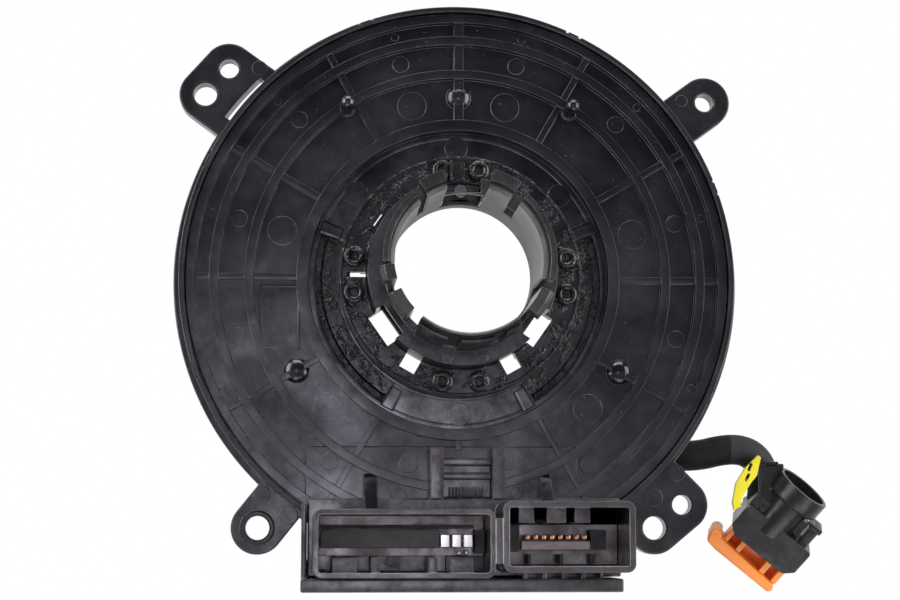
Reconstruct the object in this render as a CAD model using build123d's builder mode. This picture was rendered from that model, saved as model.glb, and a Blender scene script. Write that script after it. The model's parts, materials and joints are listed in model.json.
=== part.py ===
"""Steering clock spring: a case that bolts to the column and a rotor that turns with the wheel.

All sizes are in millimetres. The origin lies on the turning axis, in the plane of the column
side of the mounting ears. +Y runs along the axis towards the steering wheel, +X is to the
right and +Z is up. A level is a distance behind the origin plane, towards the column (-Y).
"""
import os
from math import atan2, cos, degrees, pi, radians, sin, tan

from build123d import *

os.makedirs("parts", exist_ok=True)

# ---------------------------------------------------------------- clearances
fit_gap = 0.1            # between pieces fixed to each other
running_gap = 0.35       # between the rotor and the case
slide_gap = 0.3          # round the sliding lock

# ---------------------------------------------------------------- case and ears
case_radius = 73.0
case_wall = 1.5
rim_level = 7.0          # rear edge of the case wall
case_front_level = -9.0
flange_overhang = 1.8
ear_thickness = 5.5
ear_radius = 6.9
ear_root_fillet = 2.6
upper_ear_x, upper_ear_z = 67.3, 49.7
lower_ear_x, lower_ear_z = 52.0, -65.0
upper_dowel_x, upper_dowel_z = -61.1, 56.8
lower_dowel_x, lower_dowel_z = 59.4, -58.9
bolt_hole_radius = 3.1
upper_right_hole_radius = 2.5
dowel_hole_radius = 2.6
ear_slot_angle, ear_slot_span, ear_slot_depth = 139.5, 9.0, 2.2
snap_angles = (20, 65, 110, 155, 200, 335)
snap_width, snap_depth = 4.4, 0.8

# ---------------------------------------------------------------- rear cover
cover_floor_level = 4.0
cover_thickness = 1.6
ridge_height = 2.0
rib_height = 1.5
rib_width = 1.7
top_rib_width = 2.5
band_width = 2.4
outer_ridge_inset = 6.0  # from the cover's edge
middle_ridge_radius = 56.0
step_radius = 39.5
ridge_width = 2.4
step_width = 1.6
step_ridge_width = 3.0
shelf_level = 2.0        # rear face of the inner shelf
shelf_thickness = 1.5
window_inner, window_outer = 32.0, 37.8
left_window = (162.0, 238.0)
right_window = (-58.0, 19.0)
end_block_span = 6.0
end_block_height = 1.2
peg_x, peg_z, peg_radius, peg_length = 29.6, 45.2, 1.9, 9.5
dome_radius, dome_height, dome_place = 3.3, 1.6, 48.8
plate_height = 0.9
plate_left, plate_right, plate_reach = -40.0, 31.0, 13.5
post_height, post_reach, post_width = 9.0, 13.0, 2.9
post_left, post_right = -7.6, 8.2
gusset_reach, gusset_width, gusset_height = 5.5, 2.6, 6.0
gusset_places = (-24.0, 21.0)

# ---------------------------------------------------------------- connector block
block_left, block_right = -39.0, 41.0
block_drop, block_height = 4.4, 19.9
block_bottom = -case_radius - block_drop
block_top = block_bottom + block_height
socket_floor = 12.0
socket_mouth = 32.0
main_left, main_right, main_height, main_sill = -37.5, 7.0, 16.8, 0.1
main_bottom = block_bottom + main_sill
main_top = main_bottom + main_height
aux_left, aux_right, aux_height, aux_sill = 8.8, 41.5, 17.5, 1.4
aux_bottom = block_bottom + aux_sill
aux_top = aux_bottom + aux_height
main_wall, aux_wall = 1.3, 1.6
socket_corner = 2.2
key_level = 27.0
key_height = 3.8
box_wall = 1.4
box_bottom = block_bottom - 2 * box_wall - 0.6
box_left, box_right = -40.5, 39.0
box_front_level, box_rear_level = -5.0, 28.0

# ---------------------------------------------------------------- headers and terminals
header_base = 1.6
tongue_top, tongue_bottom, tongue_level = main_bottom + 11.8, main_bottom + 7.3, 24.0
tongue_right = -6.3
blade_width, blade_height, blade_pitch, blade_level = 1.7, 3.2, 2.9, 21.0
aux_pin_count, aux_pin_pitch, aux_pin_size = 8, 2.04, 0.8
aux_pin_x, aux_pin_z, aux_pin_level = 15.6, aux_bottom + 8.7, 24.0

# ---------------------------------------------------------------- rotor
plate_gap = 0.7          # between the rotor plate's edge and the case wall
rotor_plate_level = -6.6
rotor_plate_thickness = 2.0
hub_outer, hub_wall = 29.9, 1.3
hub_rear_level = 8.9
drum_wall = 1.4
skirt_wall = 1.3
ring_outer = hub_outer + 2 * fit_gap + skirt_wall
ring_thickness = 1.95
stake_circle, stake_half_angle = 28.0, 9.7
stake_boss, stake_post, stake_head = 1.8, 1.4, 2.6  # the boss is the rim under the ring
stake_head_height = 1.5
gear_teeth, gear_tip, gear_root = 72, 35.6, 34.2
gear_level, gear_thickness = -1.2, 2.8
shoulder_inner, shoulder_level = 24.4, 6.6
shoulder_thickness = 2.0

# windows that pass through the rotor's rear pieces: angle, radius, radial size, width
rotor_windows = [
    (35.0, 23.9, 4.4, 8.8),
    (145.0, 23.9, 4.4, 8.8),
    (215.0, 23.9, 4.4, 8.8),
    (325.0, 23.9, 4.4, 8.8),
    (180.0, 27.0, 4.9, 1.3),
    (240.5, 26.3, 4.2, 4.3),
    (299.5, 26.3, 4.2, 4.3),
]

# ---------------------------------------------------------------- cancelling sleeve
sleeve_bore = 18.2
sleeve_outer = 20.1
sleeve_front_level = 5.0
drum_radius = 24.3
sleeve_face_level = 20.0
sleeve_face_thickness = 1.6
sleeve_flange = 26.0
finger_inner, finger_outer = 18.4, 19.8
finger_root = 0.4        # extra thickness where a finger leaves the face
# start angle, end angle, end level and rim radius of each finger
fingers = [
    (107.0, 124.0, 42.0, 22.6),
    (130.0, 183.0, 41.0, 21.3),
    (345.0, 408.0, 42.0, 21.3),
    (416.0, 435.0, 42.0, 22.6),
]
rim_length, lead_in_width, lead_in_length = 4.0, 1.4, 2.6
# start angle, end angle and end level of the plain shell below the bore
shell_start, shell_end, shell_level = 231.5, 308.5, 44.0
# start angle, end angle of each snap hook
hooks = [(186.0, 197.0), (205.0, 223.0), (318.0, 337.0)]
hook_inner, hook_outer, hook_length, hook_level = 18.6, 22.2, 4.6, 44.0
hook_chamfer = 1.2
notch_left, notch_right = -5.4, 4.6
pad_bottom = 18.9

# ---------------------------------------------------------------- flat ribbon cable
ribbon_width, ribbon_thickness = 7.0, 0.35
ribbon_inner, ribbon_half_turns, ribbon_case_gap = 46.0, 6, 4.6
slip_thickness = 0.5

# ---------------------------------------------------------------- steering wheel side
header_x, header_z = 0.0, case_radius - 22.0
wheel_pin_pitch, wheel_row_pitch = 4.0, 4.6
header_width, header_height, header_depth, header_wall = 30.0, 13.0, 12.0, 1.4
front_boss_radius, front_boss_height = 33.4, 3.6
drive_peg_radius, drive_peg_circle, drive_peg_length = 3.0, 40.0, 7.0
drive_peg_angles = (30, 150, 270)
front_rib_count, front_rib_width, front_ring_radius = 12, 1.4, 56.0

# ---------------------------------------------------------------- pigtail, chosen by hand
pigtail_radius = 3.7
pigtail_route = [
    (46.5, 14.6, -41.8),
    (56.5, 15.0, -45.0),
    (66.0, 15.6, -45.6),
    (75.0, 16.0, -43.4),
    (80.9, 16.4, -43.9),
    (84.9, 17.2, -47.4),
    (85.9, 18.2, -52.6),
    (85.3, 19.0, -57.2),
]
gland_length, gland_size = 12.0, 11.0

# ---------------------------------------------------------------- airbag plug on the pigtail
plug_x, plug_y, plug_z = 87.8, 17.0, -66.8
plug_slope, plug_tilt = 39.0, 22.0
plug_left, plug_right, plug_bottom, plug_top = -11.3, 10.2, -5.6, 3.8
plug_half_depth = 5.5
pocket_depth = 5.2
barrel_place, barrel_radius, barrel_end = -0.6, 5.1, 12.0
hood_radius, hood_end, hood_wall = 6.5, 17.0, 1.0
core_radius, core_root, core_end = 2.4, 6.0, 10.0
pocket_half_depth, pocket_side_wall = 3.3, 1.1
lip_left, lip_right, lip_bottom, lip_top, lip_reach = 82.8, 89.8, -60.0, -47.0, 2.9
lock_travel = 3.0
lock_stop_gap = 0.8      # left between the lock and the end of its pocket when it is home
lock_base_height, lock_base_lip = 3.2, 1.2
lock_tab_reach, lock_tab_height = 2.8, 3.0
leaf_front, leaf_depth, leaf_left = 9.6, 7.5, 70.0
leaf_cable_face, leaf_cable_foot = 12.1, -50.6   # the leaf is cut back where the cable crosses it


column_axis = Axis((0, 0, 0), (0, -1, 0))


def rear(level):
    """Plane at a level, with X to the right, Z up and its normal towards the column."""
    return Plane.XZ.offset(level)


def polar(radius, angle):
    """Point of a rear plane at a radius and an angle in degrees."""
    return (radius * cos(radians(angle)), radius * sin(radians(angle)))


def radial_plane(angle):
    """Plane that holds the axis, with X outwards at an angle and Y towards the column."""
    across, up = polar(1, angle)
    return Plane(origin=(0, 0, 0), x_dir=(across, 0, up), z_dir=(up, 0, -across))


def ring_face(inner, outer):
    """Flat ring centred on the axis."""
    with BuildSketch(mode=Mode.PRIVATE) as ring:
        Circle(outer)
        Circle(inner, mode=Mode.SUBTRACT)
    return ring.sketch


def sector_face(inner, outer, start, end):
    """Part of a flat ring between two angles in degrees."""
    with BuildSketch(mode=Mode.PRIVATE) as sector:
        with BuildLine():
            outside = CenterArc((0, 0), outer, start, end - start)
            inside = CenterArc((0, 0), inner, start, end - start)
            Line(outside @ 0, inside @ 0)
            Line(outside @ 1, inside @ 1)
        make_face()
    return sector.sketch


def box_face(left, right, bottom, top):
    """Rectangle given by its four sides."""
    with BuildSketch(mode=Mode.PRIVATE) as rectangle:
        with Locations(((left + right) / 2, (bottom + top) / 2)):
            Rectangle(right - left, top - bottom)
    return rectangle.sketch


def window_faces(extra=0.0):
    """The rotor's windows, each widened on every side by extra."""
    with BuildSketch(mode=Mode.PRIVATE) as windows:
        for angle, radius, radial, width in rotor_windows:
            with Locations(Location((*polar(radius, angle), 0), (0, 0, angle))):
                Rectangle(radial + 2 * extra, width + 2 * extra)
    return windows.sketch


def ear_face(holes):
    """Rounded lug round its holes, with straight sides that run in to the case."""
    main_x, main_z = holes[0]
    reach = (main_x**2 + main_z**2) ** 0.5
    root = (case_radius - ear_radius) / reach
    with BuildSketch(mode=Mode.PRIVATE) as lug:
        with Locations(*holes, *[(x * root, z * root) for x, z in holes]):
            Circle(ear_radius)
        make_hull()
    return lug.sketch


upper_left_ear = [(-upper_ear_x, upper_ear_z), (upper_dowel_x, upper_dowel_z)]
upper_right_ear = [(upper_ear_x, upper_ear_z)]
lower_left_ear = [(-lower_ear_x, lower_ear_z)]
lower_right_ear = [(lower_ear_x, lower_ear_z), (lower_dowel_x, lower_dowel_z)]
ears = [upper_left_ear, upper_right_ear, lower_left_ear, lower_right_ear]
flange_radius = case_radius + flange_overhang
case_inner = case_radius - case_wall
cover_front_level = cover_floor_level - cover_thickness

plate_top = block_top + plate_reach
post_top = block_top + post_reach
channel_left, channel_right = post_left + post_width, post_right

# ================================================================ case ring
with BuildPart() as case_ring:
    with BuildSketch(rear(0)):
        Circle(flange_radius)
        for ear in ears:
            add(ear_face(ear))
    extrude(amount=-ear_thickness)
    ear_roots = [
        edge
        for edge in case_ring.edges().filter_by(Axis.Y)
        if abs(Vector(edge.center().X, 0, edge.center().Z).length - flange_radius) < fit_gap
    ]
    fillet(ear_roots, radius=ear_root_fillet)
    with BuildSketch(rear(0)):
        add(box_face(box_left - fit_gap, box_right + fit_gap, 2 * box_bottom, block_top))
        Circle(flange_radius, mode=Mode.SUBTRACT)
    extrude(amount=-ear_thickness, mode=Mode.SUBTRACT)
    with BuildSketch(rear(rim_level)):
        Circle(case_radius)
    extrude(amount=case_front_level - rim_level)
    with BuildSketch(rear(rim_level)):
        Circle(case_inner)
    extrude(amount=case_front_level - rim_level, mode=Mode.SUBTRACT)
    with BuildSketch(rear(0)):
        with Locations((-upper_ear_x, upper_ear_z), (-lower_ear_x, lower_ear_z), (lower_ear_x, lower_ear_z)):
            Circle(bolt_hole_radius)
        with Locations((upper_ear_x, upper_ear_z)):
            Circle(upper_right_hole_radius)
        with Locations((upper_dowel_x, upper_dowel_z), (lower_dowel_x, lower_dowel_z)):
            Circle(dowel_hole_radius)
        add(sector_face(case_radius, case_radius + ear_slot_depth,
                        ear_slot_angle - ear_slot_span / 2, ear_slot_angle + ear_slot_span / 2))
    extrude(amount=-ear_thickness, mode=Mode.SUBTRACT)
    with BuildSketch(rear(rim_level)):
        for angle in snap_angles:
            with Locations(Location((*polar(case_inner, angle), 0), (0, 0, angle))):
                Rectangle(2 * snap_depth, snap_width)
    extrude(amount=-snap_depth * 2, mode=Mode.SUBTRACT)
    with BuildSketch(rear(rim_level)):
        add(box_face(box_left - fit_gap, block_right + fit_gap, 2 * box_bottom, block_top + fit_gap))
    extrude(amount=cover_front_level - fit_gap - rim_level, mode=Mode.SUBTRACT)
case_ring.part.label = "case_ring"
export_step(case_ring.part, "parts/case_ring.step")

# ================================================================ rear cover with both sockets
cover_radius = case_inner - fit_gap * 3
outer_ridge_radius = cover_radius - outer_ridge_inset
ridge_level = cover_floor_level + ridge_height
plate_level = cover_floor_level + plate_height
shelf_inner = hub_outer + running_gap
main_cavity = (main_left + main_wall, main_right - main_wall, main_bottom + main_wall, main_top - main_wall)
aux_cavity = (aux_left + aux_wall, aux_right - aux_wall, aux_bottom + aux_wall, aux_top - aux_wall)


def socket_face(left, right, bottom, top, corner):
    """Rectangle with rounded corners given by its four sides."""
    with BuildSketch(mode=Mode.PRIVATE) as outline:
        with Locations(((left + right) / 2, (bottom + top) / 2)):
            RectangleRounded(right - left, top - bottom, corner)
    return outline.sketch


cap_radius = (dome_radius**2 + dome_height**2) / (2 * dome_height)
with BuildPart() as dome:
    with BuildSketch(rear(cover_front_level + fit_gap)):
        Circle(dome_radius)
    extrude(amount=cover_thickness - fit_gap + dome_height)
    with Locations((0, cap_radius - cover_floor_level - dome_height, 0)):
        Sphere(cap_radius, rotation=(90, 0, 0), mode=Mode.INTERSECT)

with BuildPart() as peg:
    with BuildSketch(rear(cover_front_level + fit_gap)):
        Circle(peg_radius)
    extrude(amount=cover_thickness - fit_gap + peg_length)
    chamfer(peg.faces().sort_by(Axis.Y)[0].edges(), length=peg_radius * 0.4)

with BuildPart() as rear_cover:
    with BuildSketch(rear(cover_front_level)):
        add(ring_face(step_radius, cover_radius))
    extrude(amount=cover_thickness)
    with BuildSketch(rear(cover_floor_level)):
        add(ring_face(cover_radius - band_width, cover_radius))
        add(ring_face(outer_ridge_radius - ridge_width, outer_ridge_radius))
        add(ring_face(middle_ridge_radius - ridge_width, middle_ridge_radius))
        add(ring_face(step_radius, step_radius + step_ridge_width))
    extrude(amount=ridge_height)
    rib_start = step_radius + step_ridge_width / 2
    rib_end = cover_radius - band_width / 2
    with BuildSketch(rear(cover_floor_level)):
        for angle in range(0, 360, 30):
            width = top_rib_width if angle == 90 else rib_width
            length = ridge_width * 2 if angle == 270 else rib_end - rib_start
            with Locations(Location((*polar(rib_start + length / 2, angle), 0), (0, 0, angle))):
                Rectangle(length, width)
    extrude(amount=rib_height)
    with BuildSketch(rear(shelf_level)):
        add(ring_face(shelf_inner, step_radius + fit_gap))
        add(sector_face(window_inner, window_outer, *left_window), mode=Mode.SUBTRACT)
        add(sector_face(window_inner, window_outer, *right_window), mode=Mode.SUBTRACT)
    extrude(amount=-shelf_thickness)
    with BuildSketch(rear(shelf_level)):
        for start, end in (left_window, right_window):
            add(sector_face(window_inner + 1, window_outer + 1, start - end_block_span, start))
            add(sector_face(window_inner + 1, window_outer + 1, end, end + end_block_span))
    extrude(amount=end_block_height)
    with BuildSketch(rear(shelf_level - shelf_thickness)):
        add(ring_face(step_radius, step_radius + step_width))
    extrude(amount=ridge_level - shelf_level + shelf_thickness)
    with BuildSketch(rear(cover_floor_level)) as plate_outline:
        Circle(cover_radius - band_width)
        add(box_face(plate_left, plate_right, block_top, plate_top), mode=Mode.INTERSECT)
    extrude(amount=plate_height)
    with BuildSketch(rear(ridge_level)):
        add(box_face(channel_left, channel_right, block_top, post_top))
    extrude(amount=plate_height - ridge_height, mode=Mode.SUBTRACT)
    with BuildSketch(rear(cover_floor_level)):
        add(box_face(post_left, channel_left, block_top, post_top))
        add(box_face(post_right, post_right + post_width, block_top, post_top))
    extrude(amount=post_height)
    with Locations((peg_x, 0, peg_z), (-peg_x, 0, peg_z)):
        add(peg.part)
    with Locations(*[(x, 0, z) for x, z in (polar(dome_place, a) for a in (90, 210, 330))]):
        add(dome.part)
    with BuildSketch(rear(cover_front_level)):
        add(box_face(block_left, block_right, block_bottom, block_top))
    extrude(amount=socket_floor - cover_front_level)
    with BuildSketch(rear(socket_floor)):
        add(socket_face(main_left, main_right, main_bottom, main_top, socket_corner))
        add(socket_face(aux_left, aux_right, aux_bottom, aux_top, socket_corner))
        add(box_face(main_right - fit_gap, aux_left + fit_gap,
                     aux_bottom + socket_corner, main_top - socket_corner))
    extrude(amount=socket_mouth - socket_floor)
    with BuildSketch(rear(socket_mouth)):
        add(socket_face(*main_cavity, socket_corner - main_wall))
        add(socket_face(*aux_cavity, socket_corner - aux_wall))
    extrude(amount=socket_floor - socket_mouth, mode=Mode.SUBTRACT)
    with BuildSketch(rear(socket_floor)):
        add(box_face(-33.0, -26.5, main_cavity[2] - fit_gap, main_cavity[2] + key_height - 0.1))
        add(box_face(-23.3, -21.0, main_cavity[2] - fit_gap, main_cavity[2] + key_height))
        add(box_face(-9.2, -7.0, main_cavity[2] - fit_gap, main_cavity[2] + key_height - 0.4))
        add(box_face(-4.0, 2.3, main_cavity[2] - fit_gap, main_cavity[2] + key_height - 0.3))
        add(box_face(13.0, 17.0, aux_cavity[3] - key_height, aux_cavity[3] + fit_gap))
        add(box_face(20.0, 25.0, aux_cavity[3] - key_height, aux_cavity[3] + fit_gap))
        add(box_face(27.0, 31.0, aux_cavity[3] - key_height, aux_cavity[3] + fit_gap))
    extrude(amount=key_level - socket_floor)
    for left in gusset_places:
        with BuildSketch(Plane.YZ.offset(left)):
            with BuildLine():
                Polyline(
                    (-plate_level + fit_gap, block_top + gusset_reach),
                    (-plate_level + fit_gap, main_top),
                    (-socket_floor - gusset_height, main_top),
                    close=True,
                )
            make_face()
        extrude(amount=gusset_width)
    with BuildSketch(rear(socket_floor)):
        add(box_face(14.0, 34.0, box_bottom + 1.2, aux_bottom + fit_gap))
        add(box_face(17.0, 23.6, box_bottom + 2.6, aux_bottom), mode=Mode.SUBTRACT)
        add(box_face(25.4, 31.6, box_bottom + 2.6, aux_bottom), mode=Mode.SUBTRACT)
    extrude(amount=key_level - socket_floor)
rear_cover.part.label = "rear_cover"
export_step(rear_cover.part, "parts/rear_cover.step")

# ================================================================ connector box under the sockets
wall_clear_radius = flange_radius + fit_gap * 2
with BuildPart() as connector_box:
    with BuildSketch(rear(box_front_level)):
        add(box_face(box_left, box_right, box_bottom, block_bottom - fit_gap))
    extrude(amount=box_rear_level - box_front_level)
    with BuildSketch(rear(box_front_level)):
        add(box_face(box_left, box_right, box_bottom, block_top))
        Circle(wall_clear_radius, mode=Mode.SUBTRACT)
    extrude(amount=box_wall)
    with BuildSketch(rear(cover_front_level)):
        add(box_face(box_left, block_left - fit_gap, block_bottom - box_wall, block_top))
        Circle(case_radius + fit_gap, mode=Mode.SUBTRACT)
    extrude(amount=socket_floor + 6.0 - cover_front_level)
    with BuildSketch(rear(box_rear_level)):
        add(box_face(14.0 - slide_gap, 34.0 + slide_gap, box_bottom + 1.2 - slide_gap, block_bottom))
    extrude(amount=socket_floor - box_rear_level, mode=Mode.SUBTRACT)
connector_box.part.label = "connector_box"
export_step(connector_box.part, "parts/connector_box.step")

# ================================================================ main header: tongue and terminals
header_seat_level = socket_floor + fit_gap / 2
header_face = header_seat_level + header_base
with BuildPart() as main_header:
    with BuildSketch(rear(header_seat_level)):
        add(socket_face(main_cavity[0] + fit_gap, main_cavity[1] - fit_gap,
                        main_cavity[2] + key_height + fit_gap, main_cavity[3] - fit_gap,
                        socket_corner - main_wall))
    extrude(amount=header_base)
    with BuildSketch(rear(header_face)):
        add(box_face(main_cavity[0] + 0.5, tongue_right, tongue_bottom, tongue_top))
    extrude(amount=tongue_level - header_face)
    chamfer(main_header.faces().sort_by(Axis.Y)[0].edges(), length=0.6)
    with BuildSketch(rear(header_face)):
        add(box_face(main_cavity[0] + 0.5, 2.6, tongue_top + 0.3, tongue_top + 1.2))
        add(box_face(2.9, main_cavity[1] - 0.3, tongue_bottom - 1.4, tongue_top))
    extrude(amount=(tongue_level - socket_floor) / 2)
main_header.part.label = "main_header"
export_step(main_header.part, "parts/main_header.step")

blade_base = header_face + fit_gap / 2
blade_z = (tongue_top + tongue_bottom) / 2 - 0.6
with BuildPart() as main_terminals:
    with BuildSketch(rear(blade_base)):
        with Locations(*[(tongue_right + 1.6 + i * blade_pitch, blade_z) for i in range(3)]):
            Rectangle(blade_width, blade_height)
    extrude(amount=blade_level - blade_base)
    chamfer(main_terminals.faces().group_by(Axis.Y)[0].edges(), length=0.4)
    with BuildSketch(rear(blade_base)):
        with Locations((-0.9, tongue_bottom - 1.3), (0.9, tongue_bottom - 1.3)):
            Rectangle(0.8, 1.3)
    extrude(amount=blade_level - 3.0 - blade_base)
main_terminals.part.label = "main_terminals"
export_step(main_terminals.part, "parts/main_terminals.step")

# ================================================================ auxiliary header and its pins
with BuildPart() as aux_header:
    with BuildSketch(rear(header_seat_level)):
        add(socket_face(aux_cavity[0] + fit_gap, aux_cavity[1] - fit_gap,
                        aux_cavity[2] + fit_gap, aux_cavity[3] - key_height - fit_gap,
                        socket_corner - aux_wall))
    extrude(amount=header_base)
    with BuildSketch(rear(header_face)):
        add(box_face(aux_pin_x - 1.2, aux_pin_x + aux_pin_count * aux_pin_pitch,
                     aux_pin_z - 3.3, aux_pin_z - 0.9))
        add(box_face(31.9, 35.8, aux_pin_z - 3.2, aux_pin_z + 1.8))
        add(box_face(aux_cavity[0] + 0.3, 14.0, aux_pin_z - 3.7, aux_pin_z + 3.1))
        for left in (16.0, 24.0, 32.0):
            add(box_face(left, left + 0.9, aux_cavity[2] + 0.3, aux_pin_z - 4.3))
    extrude(amount=7.0)
    with BuildSketch(rear(header_face)):
        with Locations(*[(aux_pin_x + i * aux_pin_pitch, aux_pin_z) for i in range(aux_pin_count)]):
            Rectangle(aux_pin_size + fit_gap, aux_pin_size + fit_gap)
    extrude(amount=-header_base + fit_gap, mode=Mode.SUBTRACT)
aux_header.part.label = "aux_header"
export_step(aux_header.part, "parts/aux_header.step")

with BuildPart() as aux_pins:
    with BuildSketch(rear(socket_floor + 2 * fit_gap)):
        with Locations(*[(aux_pin_x + i * aux_pin_pitch, aux_pin_z) for i in range(aux_pin_count)]):
            Rectangle(aux_pin_size, aux_pin_size)
    extrude(amount=aux_pin_level - socket_floor)
    chamfer(aux_pins.faces().group_by(Axis.Y)[0].edges(), length=aux_pin_size * 0.3)
aux_pins.part.label = "aux_pins"
export_step(aux_pins.part, "parts/aux_pins.step")

# ================================================================ lead frame between the posts
lead_left, lead_right = channel_left + 2 * fit_gap, channel_right - 2 * fit_gap
with BuildPart() as lead_frame:
    with BuildSketch(rear(plate_level + fit_gap)):
        add(box_face(lead_left, lead_right, block_top + 2 * fit_gap, block_top + 8.5))
    extrude(amount=3.0)
    with BuildSketch(rear(plate_level + fit_gap)):
        for low, high in ((8.5, 10.3), (4.9, 6.5)):
            add(box_face(lead_left, lead_right, block_top + low, block_top + high))
    extrude(amount=5.0)
    with BuildSketch(rear(plate_level + fit_gap + 3.0)):
        with Locations(*[(channel_left + 2.1 + 0.9 * i, block_top + 1.6) for i in range(10)]):
            Rectangle(0.45, 2.4)
    extrude(amount=0.8)
lead_frame.part.label = "lead_frame"
export_step(lead_frame.part, "parts/lead_frame.step")

# ================================================================ guide ring under the shelf
shelf_front_level = shelf_level - shelf_thickness
with BuildPart() as guide_ring:
    with BuildSketch(rear(shelf_front_level - fit_gap)):
        add(ring_face(gear_tip + 0.5, step_radius + step_width - 0.2))
    extrude(amount=-1.4)
guide_ring.part.label = "guide_ring"
export_step(guide_ring.part, "parts/guide_ring.step")

# ================================================================ rotor plate, drum and hub
route = [Vector(*point) for point in pigtail_route]
exit_direction = (route[1] - route[0]).normalized()
gland_middle = route[0] - exit_direction * (gland_length / 2)
gland_radius = (gland_middle.X**2 + gland_middle.Z**2) ** 0.5
gland_angle = degrees(atan2(gland_middle.Z, gland_middle.X))
gland_turn = degrees(atan2(exit_direction.Z, exit_direction.X))
drum_inner = step_radius + step_width + 0.5
rotor_radius = case_inner - plate_gap
rotor_front_level = rotor_plate_level - rotor_plate_thickness
drum_rear_level = cover_front_level - running_gap
ring_front_level = hub_rear_level + fit_gap
ring_rear_level = ring_front_level + ring_thickness
stake_angles = [base + side * stake_half_angle for base in (0, 90, 180, 270) for side in (-1, 1)]
with BuildPart() as rotor_plate:
    with BuildSketch(rear(rotor_front_level)):
        add(ring_face(hub_outer - hub_wall, rotor_radius))
    extrude(amount=rotor_plate_thickness)
    with BuildSketch(rear(rotor_front_level)):
        add(ring_face(hub_outer - hub_wall, front_boss_radius))
    extrude(amount=-front_boss_height)
    with BuildSketch(rear(rotor_front_level)):
        add(ring_face(rotor_radius - 3.0, rotor_radius - 1.2))
        add(ring_face(front_ring_radius, front_ring_radius + front_rib_width))
        rib_middle = (front_boss_radius + front_ring_radius) / 2
        for angle in range(0, 360, 360 // front_rib_count):
            with Locations(Location((*polar(rib_middle, angle), 0), (0, 0, angle))):
                Rectangle(front_ring_radius - front_boss_radius + front_rib_width, front_rib_width)
        with Locations((header_x, header_z)):
            Rectangle(header_width + 1, header_height + 1, mode=Mode.SUBTRACT)
        with Locations(Location((*polar(gland_radius, gland_angle), 0), (0, 0, gland_turn))):
            Rectangle(gland_length + 2, gland_size + 2, mode=Mode.SUBTRACT)
    extrude(amount=-1.2)
    with BuildSketch(rear(rotor_front_level)):
        with Locations(*[polar(drive_peg_circle, angle) for angle in drive_peg_angles]):
            Circle(drive_peg_radius)
    extrude(amount=-drive_peg_length)
    with BuildSketch(rear(rotor_plate_level)):
        add(ring_face(drum_inner, drum_inner + drum_wall))
    extrude(amount=drum_rear_level - rotor_plate_level)
    with BuildSketch(rear(rotor_plate_level)):
        add(ring_face(hub_outer - hub_wall, hub_outer))
    extrude(amount=hub_rear_level - rotor_plate_level)
    with BuildSketch(rear(shoulder_level)):
        add(ring_face(shoulder_inner, hub_outer - hub_wall / 2))
        add(window_faces(0.6), mode=Mode.SUBTRACT)
    extrude(amount=-shoulder_thickness)
    with BuildSketch(rear(hub_rear_level)):
        add(ring_face(stake_circle - stake_boss, hub_outer - hub_wall / 2))
        add(window_faces(0.6), mode=Mode.SUBTRACT)
    extrude(amount=shoulder_level - hub_rear_level)
    with BuildSketch(rear(hub_rear_level)):
        with Locations(*[polar(stake_circle, angle) for angle in stake_angles]):
            Circle(stake_post)
    extrude(amount=ring_thickness + 2 * fit_gap)
    with BuildSketch(rear(ring_rear_level + fit_gap)):
        with Locations(*[polar(stake_circle, angle) for angle in stake_angles]):
            Circle(stake_head)
    extrude(amount=stake_head_height)
    with BuildSketch(rear(ring_rear_level + stake_head_height + fit_gap)):
        with Locations(*[polar(stake_circle, angle) for angle in stake_angles]):
            Circle(stake_post - 0.3)
    extrude(amount=-1.8, mode=Mode.SUBTRACT)
rotor_plate.part.label = "rotor_plate"
export_step(rotor_plate.part, "parts/rotor_plate.step")

# ================================================================ toothed sensor gear
with BuildPart() as sensor_gear:
    with BuildSketch(rear(gear_level)):
        add(ring_face(hub_outer + fit_gap, gear_root))
        tooth_pitch = 2 * pi * gear_root / gear_teeth
        tooth_length = gear_tip - gear_root
        with PolarLocations(gear_root + tooth_length / 2 - fit_gap, gear_teeth):
            Trapezoid(tooth_pitch * 0.5, tooth_length + fit_gap, 78, rotation=-90)
    extrude(amount=-gear_thickness)
sensor_gear.part.label = "sensor_gear"
export_step(sensor_gear.part, "parts/sensor_gear.step")

# ================================================================ lock ring
with BuildPart() as lock_ring:
    with BuildSketch(rear(ring_front_level)):
        add(ring_face(drum_radius + fit_gap, ring_outer))
        add(window_faces(), mode=Mode.SUBTRACT)
        with Locations(*[polar(stake_circle, angle) for angle in stake_angles]):
            Circle(stake_post + fit_gap, mode=Mode.SUBTRACT)
    extrude(amount=ring_thickness)
    with BuildSketch(rear(ring_front_level)):
        add(ring_face(ring_outer - skirt_wall, ring_outer))
    extrude(amount=-(ring_front_level - shelf_level - running_gap))
    with BuildSketch(rear(ring_rear_level)):
        add(ring_face(ring_outer - 0.7, ring_outer))
    extrude(amount=0.5)
lock_ring.part.label = "lock_ring"
export_step(lock_ring.part, "parts/lock_ring.step")

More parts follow.
